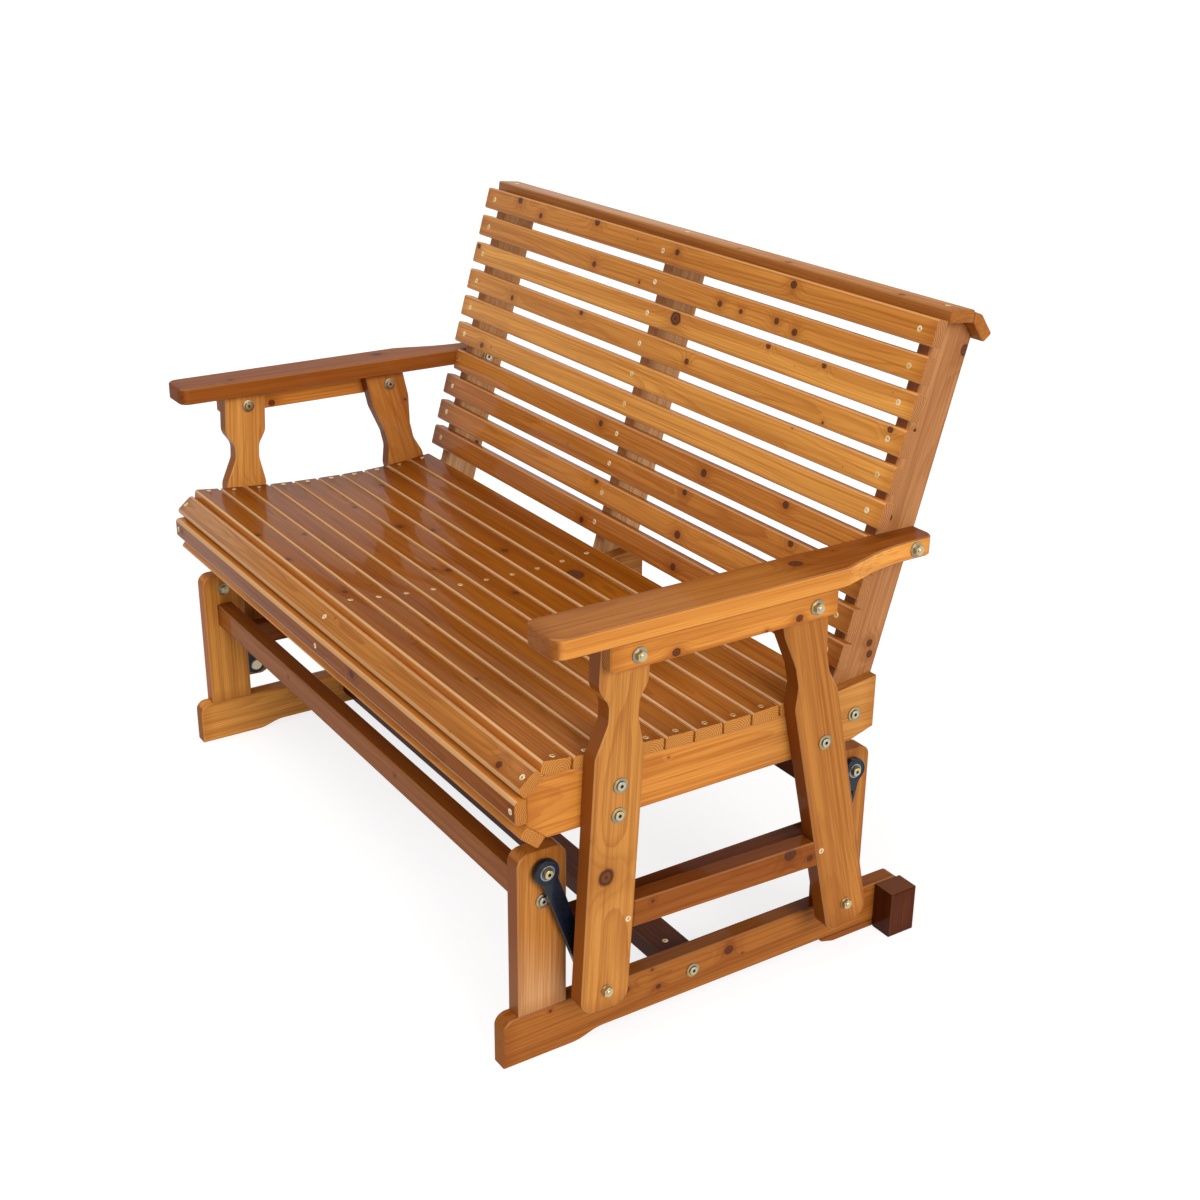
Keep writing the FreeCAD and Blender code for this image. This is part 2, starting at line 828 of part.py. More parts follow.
def armrest():
    """Armrest in plan: rounded front, then an ogee into a narrow tail beside the upright."""
    front = meet(front_leg.line(-half_wide), level(leg_top_z)).y - arm_front_over
    rear = meet(upright_rear, level(leg_top_z)).y + arm_rear_over
    shoulder = rear_leg.behind(leg_top_z - stretcher_deep).y + cleat_reach() + arm_shoulder_over
    tail_outer = upright_outer + arm_tail_wide
    z = leg_top_z
    corners = [
        (V(upright_outer, front, z), arm_inner_round),
        (V(arm_outer, front, z), arm_outer_round),
        (V(arm_outer, shoulder, z), arm_shoulder_round),
        (V(tail_outer, shoulder + arm_ogee_long, z), arm_ogee_round),
        (V(tail_outer, rear, z), arm_tail_round),
        (V(upright_outer, rear, z), 0),
    ]
    return prism(corners, V(0, 0, board), arris)


def cleat_reach():
    """Half the leaning rear leg's width measured level."""
    return half_wide / rear_leg.up.z


def arm_cleat():
    """Cleat on the legs' outer faces that carries the armrest."""
    bottom = leg_top_z - stretcher_deep
    front = meet(front_leg.line(-half_wide), level(leg_top_z)).y
    rear = rear_leg.behind(bottom).y + cleat_reach()
    corners = [
        (at(front, bottom + cleat_corner), 0),
        (at(front + cleat_corner, bottom), 0),
        (at(rear, bottom), 0),
        (at(rear, leg_top_z), 0),
        (at(front, leg_top_z), 0),
    ]
    return side_board(corners, leg_outer, cleat_outer), front, rear


def cleat_screws(front, rear):
    """Wood screws up through the right-hand cleat into the armrest, and the holes they need."""
    x = (leg_outer + cleat_outer) / 2
    bottom = leg_top_z - stretcher_deep
    step = (rear - front) / cleat_screw_count
    screws = []
    in_cleat = []
    in_arm = []
    for index in range(cleat_screw_count):
        y = front + step * (index + 0.5)
        seat = V(x, y, bottom + wood_screw_recess)
        joint = V(x, y, leg_top_z)
        tip = joint + V(0, 0, wood_screw_bite)
        head = seat - V(0, 0, washer_thick)
        screws.append(rod(head, seat, wood_screw_head).fuse(rod(seat, tip, wood_screw_dia)).removeSplitter())
        in_cleat.append(bore(V(x, y, bottom - 1), seat, wood_screw_head + 2 * bolt_clear))
        in_cleat.append(bore(seat, joint + V(0, 0, 1), wood_screw_dia + 2 * thread_clear))
        in_arm.append(bore(joint - V(0, 0, 1), tip + V(0, 0, 1), wood_screw_dia + 2 * thread_clear))
    return screws, in_cleat, in_arm


def lower_pivot_bolt(point, stud_start):
    """Leg side of a lower pivot on the right: stud or bolt, spacer, washer and nut."""
    out = V(1, 0, 0)
    spacer_start, spacer_end = along_x(point, link_outer + side_clear, leg_inner)
    end_nut, tip = nut(spacer_end + out * board, out, spacer_dia)
    return [stud_start(tip.x), spacer(spacer_start, spacer_end), end_nut]


def make_seat_frame():
    """Writes legs, stretchers, rails, uprights, armrests, cleats and their fasteners."""
    front_z = side_stretcher_front_z
    rear_z = side_stretcher_rear_z
    front_at = meet(front_leg.line(half_wide), level(front_z))
    rear_at = meet(rear_leg.line(-half_wide), level(rear_z))
    stretcher, mortises = tenoned_stretcher(
        (front_at, (rear_at - front_at).normalize()),
        front_leg.line(half_wide),
        rear_leg.line(-half_wide),
        leg_inner,
        leg_outer,
    )
    save_pair("seat_side_stretcher", stretcher)

    cleat, cleat_front, cleat_rear = arm_cleat()
    screws, in_cleat, in_arm = cleat_screws(cleat_front, cleat_rear)
    cleat_bolt_z = leg_top_z - cleat_bolt_drop
    front_bolts = [front_leg.behind(z, leg_bolt_back) for z in (leg_bolt_low_z, leg_bolt_high_z)]
    rear_bolts = [rear_leg.behind(rear_leg_bolt_z, leg_bolt_back)]
    cleat_bolts = [leg.behind(cleat_bolt_z, cleat_bolt_back) for leg in (front_leg, rear_leg)]
    for name, leg, rail_bolts, cleat_bolt in (
        ("front_leg", front_leg, front_bolts, cleat_bolts[0]),
        ("rear_leg", rear_leg, rear_bolts, cleat_bolts[1]),
    ):
        bores = [hole(point, leg_inner, leg_outer) for point in [leg.pivot, cleat_bolt] + rail_bolts]
        save_pair(name, side_board(leg.outline(), leg_inner, leg_outer).cut(bores + [mortises]))
    cleat_bores = [hole(point, leg_outer, cleat_outer) for point in cleat_bolts]
    save_pair("arm_cleat", cleat.cut(cleat_bores + in_cleat))

    rail_bolt = upright_point(upright_bolt_z, upright_bolt_back)
    tail_bolt = upright_point(leg_top_z + board / 2, tail_bolt_back)
    tail_outer = upright_outer + arm_tail_wide
    save_pair("armrest", armrest().cut([hole(tail_bolt, upright_outer, arm_outer)] + in_arm))
    upright = side_board(upright_outline(), upright_inner, upright_outer)
    upright_bores = [hole(point, upright_inner, upright_outer) for point in (rail_bolt, tail_bolt)]
    save_pair("back_upright", upright.cut(upright_bores))
    housing = side_board(upright_outline(), side_rail_inner - 1, upright_outer, 0)
    rail_bolts = front_bolts + rear_bolts + [rail_bolt]
    rail_bores = [hole(point, side_rail_inner, leg_inner) for point in rail_bolts]
    save_pair("seat_rail", seat_rail(side_rail_inner, leg_inner).cut([housing] + rail_bores))

    centre_bore = hole(rail_bolt, centre_upright_left, centre_rail_right)
    save("centre_seat_rail", seat_rail(centre_rail_left, centre_rail_right).cut(centre_bore))
    centre_upright = side_board(upright_outline(), centre_upright_left, centre_rail_left)
    save("centre_back_upright", centre_upright.cut(centre_bore))

    bolts = []
    for point in front_bolts + rear_bolts:
        bolts += bolted(point, leg_outer, side_rail_inner)
    for point in cleat_bolts:
        bolts += bolted(point, leg_inner, cleat_outer)
    bolts += bolted(tail_bolt, upright_inner, tail_outer)
    bolts += bolted(rail_bolt, leg_inner, upright_inner)
    save("seat_frame_bolts", *both_sides(bolts), *bolted(rail_bolt, centre_rail_right, centre_upright_left))
    save("armrest_screws", *both_sides(screws))

    def whole_bolt(tip_x):
        return pivot_stud(front_lower, tip_x)

    def split_bolt(tip_x):
        start, end = along_x(rear_lower, link_outer + side_clear, tip_x)
        return rod(start, end, bolt_dia)

    pivots = lower_pivot_bolt(front_lower, whole_bolt) + lower_pivot_bolt(rear_lower, split_bolt)
    save("lower_pivot_bolts", *both_sides(pivots))


# Slats

def make_slats():
    """Writes the seat, nose, back, cap and roll slats."""
    seat_slats = []
    for slat in range(seat_slat_count):
        middle, along = seated_line(slat)
        seat_slats.append(cross_bar(middle, along, wide_slat, seat_slat_thick, leg_inner))
    save("seat_slats", *seat_slats)

    # The bevel slat's upper end clears the first seat slat's lower front corner
    first_middle, first_along = seated_line(0)
    first_corner = first_middle - first_along * (wide_slat / 2)
    bevel_along = nose_line[1]
    reach = (first_corner - nose_point).dot(bevel_along) - slat_gap
    bevel_middle = nose_point + bevel_along * (reach - nose_slat_wide / 2)
    save("bevel_nose_slat", cross_bar(bevel_middle, bevel_along, nose_slat_wide, thin_slat_thick, leg_inner))
    bevel_foot = bevel_middle - bevel_along * (nose_slat_wide / 2)
    fascia_top = bevel_foot.z - slat_gap
    fascia_middle = at(nose_y, fascia_top - nose_slat_wide / 2)
    save("fascia_slat", cross_bar(fascia_middle, at(0, 1), nose_slat_wide, thin_slat_thick, leg_inner))
    under_along = under_line[1]
    under_middle = under_point - under_along * (slat_gap + nose_slat_wide / 2)
    save("under_nose_slat", cross_bar(under_middle, under_along, nose_slat_wide, thin_slat_thick, leg_inner))

    # A slat that would meet the armrests' tails is cut short between them
    top = cap_line[0] - back_up * top_slat_drop
    bottom = upright_outline()[0][0] + back_up * low_slat_rise
    for slat in range(back_slat_count):
        middle = top + (bottom - top) * (slat / (back_slat_count - 1))
        clear_of_arms = abs(middle.z - leg_top_z - board / 2) > (board + back_slat_wide) / 2
        end = leg_inner if clear_of_arms else upright_outer - slat_gap
        bar = cross_bar(middle, back_up, back_slat_wide, thin_slat_thick, end)
        save("back_slat_%02d" % (slat + 1), bar)

    cap_along = cap_line[1]
    cap_middle = cap_start + cap_along * (wide_slat / 2)
    save("cap_slat", cross_bar(cap_middle, cap_along, wide_slat, thin_slat_thick, leg_inner))
    save("roll_slat", roll_slat())


def roll_slat():
    """Slat that rolls the back's top edge over, shouldered up behind the cap slat."""
    down = roll_line[1]
    out = left_of(down)
    cap_up = left_of(cap_line[1])
    rear_of_cap = roll_start + cap_line[1] * slat_gap, cap_up
    inner_top = meet(roll_line, rear_of_cap)
    outer_top = inner_top + out * thin_slat_thick
    corners = [
        (inner_top, 0),
        (inner_top + cap_up * roll_shoulder, 0),
        (outer_top, 0),
        (outer_top + down * roll_slat_wide, 0),
        (inner_top + down * roll_slat_wide, 0),
    ]
    return eased(side_board(corners, -leg_inner, leg_inner, 0))


os.makedirs("parts", exist_ok=True)
make_base()
make_links()
make_seat_frame()
make_slats()
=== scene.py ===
"""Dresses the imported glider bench: oiled cedar, painted links, zinc hardware, floor, light and camera."""

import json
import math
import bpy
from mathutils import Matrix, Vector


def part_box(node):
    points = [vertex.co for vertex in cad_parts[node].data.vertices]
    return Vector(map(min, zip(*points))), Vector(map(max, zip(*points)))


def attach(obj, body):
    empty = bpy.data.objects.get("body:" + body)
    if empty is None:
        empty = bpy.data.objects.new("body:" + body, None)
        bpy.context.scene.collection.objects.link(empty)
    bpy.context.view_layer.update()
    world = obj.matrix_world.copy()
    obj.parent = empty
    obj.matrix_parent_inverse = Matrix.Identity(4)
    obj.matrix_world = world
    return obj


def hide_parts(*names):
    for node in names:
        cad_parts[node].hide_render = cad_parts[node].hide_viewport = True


bl_info = {
    "name": "Glider bench dressing",
    "version": (1, 0, 0),
    "blender": (4, 5, 0),
    "location": "3D View > Sidebar > Glider bench",
    "description": "Dresses the frame of a slatted cedar glider bench with wood, paint, hardware and light",
    "category": "Object",
}

from dataclasses import dataclass

import bpy
from bpy.props import FloatProperty, FloatVectorProperty, PointerProperty
from mathutils import Matrix, Vector

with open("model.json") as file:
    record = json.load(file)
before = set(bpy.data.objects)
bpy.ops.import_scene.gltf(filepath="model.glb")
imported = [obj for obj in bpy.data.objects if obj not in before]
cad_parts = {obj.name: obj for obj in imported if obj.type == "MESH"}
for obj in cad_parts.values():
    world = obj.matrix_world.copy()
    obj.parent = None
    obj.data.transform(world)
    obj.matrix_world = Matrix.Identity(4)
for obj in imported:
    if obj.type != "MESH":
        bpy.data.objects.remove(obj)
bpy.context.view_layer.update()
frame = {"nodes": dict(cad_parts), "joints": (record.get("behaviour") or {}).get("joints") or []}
nodes = frame["nodes"]

# Side view directions, given as (y, z)
BACK_UP = (0.27748, 0.96073)
FRONT_LEG_UP = (0.05129, 0.99868)
REAR_LEG_UP = (-0.21644, 0.97630)
LEVEL = (1.0, 0.0)
PLUMB = (0.0, 1.0)
BEVEL_NOSE = (0.7615, 0.6481)
UNDER_NOSE = (-0.7660, 0.6428)
CAP = (0.99452, -0.10453)
ROLL = (0.58212, -0.81310)

SIDES = (("right", 1), ("left", -1))


def low_x(node):
    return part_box(node)[0].x


def high_x(node):
    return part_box(node)[1].x


# Layers along X on the right-hand side
LEG_INNER, LEG_OUTER = low_x("right_front_leg"), high_x("right_front_leg")
CLEAT_OUTER = high_x("right_arm_cleat")
LINK_INNER, LINK_OUTER = low_x("right_front_link"), high_x("right_front_link")
POST_INNER, POST_OUTER = low_x("right_front_post"), high_x("right_front_post")
RAIL_INNER = low_x("right_seat_rail")
UPRIGHT_INNER, UPRIGHT_OUTER = low_x("right_back_upright"), high_x("right_back_upright")
ARM_TAIL_WIDE = 0.0455
TAIL_OUTER = UPRIGHT_OUTER + ARM_TAIL_WIDE
CENTRE_RAIL_RIGHT = high_x("centre_seat_rail")
CENTRE_UPRIGHT_LEFT = low_x("centre_back_upright")

# Pivots and bolts in the side view, as (y, z)
JOINTS = {joint["name"]: joint["pos_m"] for joint in frame["joints"]}
EYE_RADIUS = 0.019
FRONT_UPPER = tuple(JOINTS["front_link_swing"][1:])
FRONT_LOWER = tuple(JOINTS["seat_on_front_links"][1:])
REAR_UPPER = tuple(JOINTS["rear_link_swing"][1:])
REAR_LOWER = tuple(corner + EYE_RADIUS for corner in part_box("right_rear_link")[0][1:])
LEG_BOLTS = ((-0.2385, 0.3850), (-0.2363, 0.4280), (0.1058, 0.3957))
CLEAT_BOLTS = ((-0.2235, 0.6172), (0.0598, 0.6172))
RAIL_BOLT = (0.1823, 0.4070)
TAIL_BOLT = (0.2497, 0.6543)
BASE_BOLTS = ((-0.3190, 0.2510), (0.2080, 0.2555), (-0.0665, 0.0467))

# Slats, in metres
SEAT_SLAT_COUNT = 10
SEAT_SLAT_PITCH = 0.04788
SEAT_SLAT_WIDE, SEAT_SLAT_THICK = 0.0452, 0.019
FIRST_SEAT_SLAT_Y = -0.314
NOSE_TUCK = 0.0028
NOSE_WIDE, BACK_SLAT_WIDE, CAP_WIDE = 0.0355, 0.038, 0.044
SLAT_THICK = 0.018
SEAT_ROUND_OVER, NOSE_ROUND_OVER, BACK_ROUND_OVER = 0.0036, 0.0065, 0.0032
END_EASE, UNDER_EASE = 0.0010, 0.0006

# Screws along the slats, on the uprights and on the seat rails
UPRIGHT_X = (-0.5767, -0.0277, 0.5767)
RAIL_X = (-0.5959, -0.0006, 0.5959)
# Screws into the side stretchers through the legs, as (y, z), and down into the lower cross stretcher
LEG_SCREWS = {"_front_leg": (-0.220, 0.220), "_rear_leg": (0.1138, 0.217)}
STRETCHER_SCREW_IN, STRETCHER_SCREW_FORWARD = 0.035, 0.004

# Hardware, in metres
LINK_RIMS = ((0.0163, 0.0011), (0.0128, 0.0009))
LINK_CLEAR = 0.0003
SMALL_WASHER_RADIUS = 0.00725
SOCKET_RADIUS = 0.0028
STUD_RADIUS, STUD_HIGH = 0.010, 0.0032
DOWEL_RADIUS, DOWEL_HALF = 0.006, 0.011
DOWEL_DEEP = 0.035
RECESS_LONG, RECESS_WIDE, RECESS_REACH = 0.0052, 0.0011, 0.0029
COUNTERSINK_WIDE, SCREW_DEEP = 0.0005, 0.0018
DOME_SHARE, THREAD_SHARE = 0.93, 0.9
FLANGE_HIGH, SOCKET_DEEP = 0.0006, 0.0015
OVERLAP = 0.0002
BEARING_SHIELD = (0.0056, 0.0094)
BEARING_SEAMS = ((0.0053, 0.0060), (0.0090, 0.0097))

TINY = 1e-6


def seat_top(index):
    """Middle of a seat slat's top face, and which way it looks."""
    above = Vector((0.0, FIRST_SEAT_SLAT_Y + SEAT_SLAT_PITCH * index, 1.0))
    found, top, out, _ = nodes["seat_slats"].ray_cast(above, Vector((0.0, 0.0, -1.0)))
    if not found:
        raise ValueError("no seat slat under " + str(tuple(above)))
    return top, out


SEAT_TOPS = [seat_top(index) for index in range(SEAT_SLAT_COUNT)]


# Sizes and colours a user would change

def colour_prop(name, description, default):
    return FloatVectorProperty(
        name=name, description=description, default=default, subtype="COLOR", size=3, min=0.0, max=1.0
    )


def length_prop(name, description, default):
    return FloatProperty(name=name, description=description, default=default, unit="LENGTH", precision=4, min=0.0)


def share_prop(name, description, default):
    return FloatProperty(name=name, description=description, default=default, subtype="FACTOR", min=0.0, max=1.0)


def amount_prop(name, description, default):
    return FloatProperty(name=name, description=description, default=default, min=0.0)


def angle_prop(name, description, degrees):
    return FloatProperty(name=name, description=description, default=math.radians(degrees), subtype="ANGLE")


def vector_prop(name, description, default, subtype):
    return FloatVectorProperty(name=name, description=description, default=default, subtype=subtype)


class GliderWood(bpy.types.PropertyGroup):
    """Oiled cedar."""

    honey: colour_prop("Honey", "Paler cedar of the back slats and armrests", (0.64, 0.248, 0.043))
    amber: colour_prop("Amber", "Cedar of the posts, legs and rails", (0.50, 0.203, 0.042))
    russet: colour_prop("Russet", "Deeper cedar of the seat slats", (0.27, 0.074, 0.004))
    umber: colour_prop("Umber", "Darkest boards and the stop blocks", (0.13, 0.034, 0.010))
    sapwood: colour_prop("Sapwood", "Pale outer wood on a few boards", (0.43, 0.185, 0.064))
    # Arris colour: rubbed wood and a painted highlight; the centre and left uprights take it as their tone, partly
    # pale wood and partly painted light over their shade behind the back slats
    worn_and_lit: colour_prop("Worn arris", "Bevels where the oil has rubbed thin", (0.78, 0.47, 0.22))
    knot: colour_prop("Knot", "Heart of a knot", (0.075, 0.022, 0.010))
    ring_spacing: length_prop("Ring spacing", "Distance between growth rings", 0.0031)
    ring_contrast: share_prop("Ring contrast", "How much darker the late wood of a ring is", 0.46)
    knot_size: amount_prop("Knot size", "Scale of every knot", 1.35)
    gloss: share_prop("Gloss", "Weight of the oil's clear coat", 0.13)


class GliderMetal(bpy.types.PropertyGroup):
    """Painted links and plated hardware."""

    link_paint: colour_prop("Link paint", "Blue-black gloss paint of the swing links", (0.003, 0.007, 0.015))
    zinc: colour_prop("Zinc", "Bright zinc plate", (0.50, 0.465, 0.39))
    yellow_zinc: colour_prop("Yellow zinc", "Yellow tint in the plate", (0.60, 0.47, 0.20))
    screw_plate: colour_prop("Screw plate", "Plate of the wood screws", (0.80, 0.68, 0.46))
    bearing: colour_prop("Bearing", "Ground steel of the bearings", (0.36, 0.36, 0.37))


class GliderHardware(bpy.types.PropertyGroup):
    """Bolts, nuts and screws."""

    washer_radius: length_prop("Washer radius", "Radius of the washers on wood", 0.011)
    washer_thick: length_prop("Washer thickness", "Thickness of every washer", 0.002)
    head_radius: length_prop("Head radius", "Radius of the button heads", 0.007)
    head_high: length_prop("Head height", "Height of a button head", 0.0025)
    nut_flats: length_prop("Nut flats", "Width of a nut across its flats", 0.013)
    nut_high: length_prop("Nut height", "Height of a nut", 0.0065)
    bolt_radius: length_prop("Bolt radius", "Radius of the bolts", 0.004)
    bolt_stub: length_prop("Bolt stub", "Bolt end showing past its nut", 0.002)
    spacer_radius: length_prop("Spacer radius", "Radius of the spacers beside the links", 0.008)
    screw_radius: length_prop("Screw radius", "Radius of the countersunk wood screws", 0.004)


class GliderStage(bpy.types.PropertyGroup):
    """Floor, light and camera."""

    sky: share_prop("Sky", "Strength of the even light from all round", 0.30)
    key: amount_prop("Key", "Strength of the key lamp", 2.45)
    key_from: vector_prop("Key from", "Direction the key lamp shines from", (0.80, 0.04, 0.36), "DIRECTION")
    key_spread: angle_prop("Key spread", "How wide the key lamp looks", 34.0)
    fill: amount_prop("Fill", "Strength of the fill lamp", 1.6)
    fill_from: vector_prop("Fill from", "Direction the fill lamp shines from", (-0.05, -0.44, 0.90), "DIRECTION")
    fill_spread: angle_prop("Fill spread", "How wide the fill lamp looks", 60.0)
    lens: FloatProperty(name="Lens", description="Focal length of the camera", default=51.08, unit="CAMERA", min=1.0)
    azimuth: angle_prop("Azimuth", "Camera's turn round the bench", 56.901)
    elevation: angle_prop("Elevation", "Camera's height angle", 22.951)
    roll: angle_prop("Roll", "Camera's roll", 0.558)
    eye: vector_prop("Eye", "Where the camera stands", (2.2306, -1.3098, 1.5004), "TRANSLATION")


# Shader maths

class Wire:
    """A socket in a node tree that adds nodes to itself by arithmetic."""

    def __init__(self, tree, socket=None):
        self.tree = tree
        self.socket = socket

    def add(self, kind, sockets=None, output=0, **settings):
        """Adds a node: its settings first, then its sockets' values or links."""
        node = self.tree.nodes.new("ShaderNode" + kind)
        for name, value in settings.items():
            setattr(node, name, value)
        for key, value in (sockets or {}).items():
            if isinstance(value, Wire):
                self.tree.links.new(value.socket, node.inputs[key])
            else:
                node.inputs[key].default_value = value
        return Wire(self.tree, node.outputs[output])

    def maths(self, operation, *others):
        return self.add("Math", dict(enumerate((self, *others))), operation=operation)

    def vector(self, operation, *others, output=0):
        return self.add("VectorMath", dict(enumerate((self, *others))), output, operation=operation)

    def __add__(self, other):
        return self.maths("ADD", other)

    __radd__ = __add__

    def __sub__(self, other):
        return self.maths("SUBTRACT", other)

    def __rsub__(self, other):
        return self.add("Math", {0: other, 1: self}, operation="SUBTRACT")

    def __mul__(self, other):
        return self.maths("MULTIPLY", other)

    __rmul__ = __mul__

    def __truediv__(self, other):
        return self.maths("DIVIDE", other)

    def __rtruediv__(self, other):
        return self.add("Math", {0: other, 1: self}, operation="DIVIDE")

    def dot(self, direction):
        return self.vector("DOT_PRODUCT", tuple(direction), output="Value")

    def size(self):
        return self.maths("ABSOLUTE")

    def hypot(self, other):
        """Length of the diagonal over two lengths."""
        return (self * self + other * other).maths("SQRT")

    def step(self, low, high):
        """0 below low and 1 above high, eased between; high may lie below low."""
        return self.add("MapRange", {0: self, 1: low, 2: high, 3: 0.0, 4: 1.0}, interpolation_type="SMOOTHSTEP")

    def noise(self, along, across=None, detail=2.0):
        """Noise from 0 to 1 of a place, with its own scale along the first axis if across is given."""
        stretched = self.vector("MULTIPLY", (along, across or along, across or along))
        return self.add("TexNoise", {"Vector": stretched, "Scale": 1.0, "Detail": detail})

    def blend(self, first, second):
        """Colour mixed from first to second by this value."""
        first, second = (shade if isinstance(shade, Wire) else (*shade, 1.0) for shade in (first, second))
        return self.add("Mix", {0: self, 6: first, 7: second}, 2, data_type="RGBA")


def new_material(name, sockets):
    """A material with one Principled shader, and the object's own coordinates as a wire."""
    material = bpy.data.materials.new(name)
    material.use_nodes = True
    tree = material.node_tree
    shader = next(node for node in tree.nodes if node.type == "BSDF_PRINCIPLED")
    for key, value in sockets.items():
        shader.inputs[key].default_value = value
    return material, shader, Wire(tree).add("TexCoord", output="Object")


def feed(shader, colour, rough, height=None, strength=0.0, distance=0.0):
    """Feeds a shader its colour, its roughness and, where given, a height as bump."""
    wires = {"Base Color": colour, "Roughness": rough}
    if height:
        wires["Normal"] = height.add("Bump", {"Strength": strength, "Distance": distance, "Height": height})
    for socket, wire in wires.items():
        wire.tree.links.new(wire.socket, shader.inputs[socket])


def clad(node, material):
    """Gives a CAD node its material."""
    for slot in nodes[node].material_slots:
        slot.material = material


# Wood

def side(direction):
    """A side view direction as a vector in space."""
    return Vector((0.0, *direction))


def quarter(direction):
    """A side view direction turned by a quarter."""
    return side((direction[1], -direction[0]))


ALONG_X = Vector((1.0, 0.0, 0.0))


@dataclass
class Board:
    """How one board was cut from its log, and what shows on it.

    heart is the log's heart, across the board and through it. knots are given along the board, across
    it and in radius, and marks as knots at (y, z) in the side view. fade runs along the grain from one
    place to another into a second tone; ends and sides are the tones of the end grain and the narrow
    faces, and the paler narrow faces of the slats are a painted highlight where light catches them.
    The last three fields are shares: wild of small knots, then of arrises paled by rubbed wear and by
    a painted highlight, and of narrow faces darkened by painted shade.
    """

    grain: Vector
    wide: Vector
    shade: str
    light: float
    seed: int
    heart: tuple = (0.012, -0.07)
    knots: tuple = ()
    marks: tuple = ()
    fade: tuple = None
    ends: tuple = None
    # Tone of the narrow faces; on the slats it is paler, a painted highlight where light catches their fronts
    sides: tuple = None
    wild: float = 1.0
    # Share of the arrises paled by rubbed wear and by a painted highlight
    worn_and_lit: float = 0.14
    # Share of painted shade on the narrow faces
    edge: float = 0.0

    @property
    def thick(self):
        return self.grain.cross(self.wide)

    def reach(self, mesh):
        """Middle of a mesh measured along the board's own axes, and half its size each way."""
        axes = self.grain, self.wide, self.thick
        spans = [[corner.co.dot(axis) for corner in mesh.vertices] for axis in axes]
        middle = sum((axis * (max(span) + min(span)) / 2 for axis, span in zip(axes, spans)), Vector())
        return middle, [(max(span) - min(span)) / 2 for span in spans]


def stained(colour, light):
    """The same stain laid on thinner or thicker: red changes least, blue most."""
    return Vector((min(1.0, colour[0] * light), colour[1] * light ** 1.6, colour[2] * light ** 2.2))


def tones(wood, name, light, deep=0.54, pale=1.14):
    """Pale and deep tone of one of the woods."""
    base = stained(getattr(wood, name), light)
    return stained(base, pale), stained(base, deep)


def mixed(share, pair, other):
    """Two tones, each mixed into its own of two others."""
    return [share.blend(old, new) for old, new in zip(pair, other)]


# Cells per metre that may hold a small knot, and a knot's width over its length
KNOT_CELLS = 5.2
KNOT_STRETCH = 0.86
# Golden section: spreads the boards' seeds evenly between 0 and 1
GOLDEN = 0.6180339


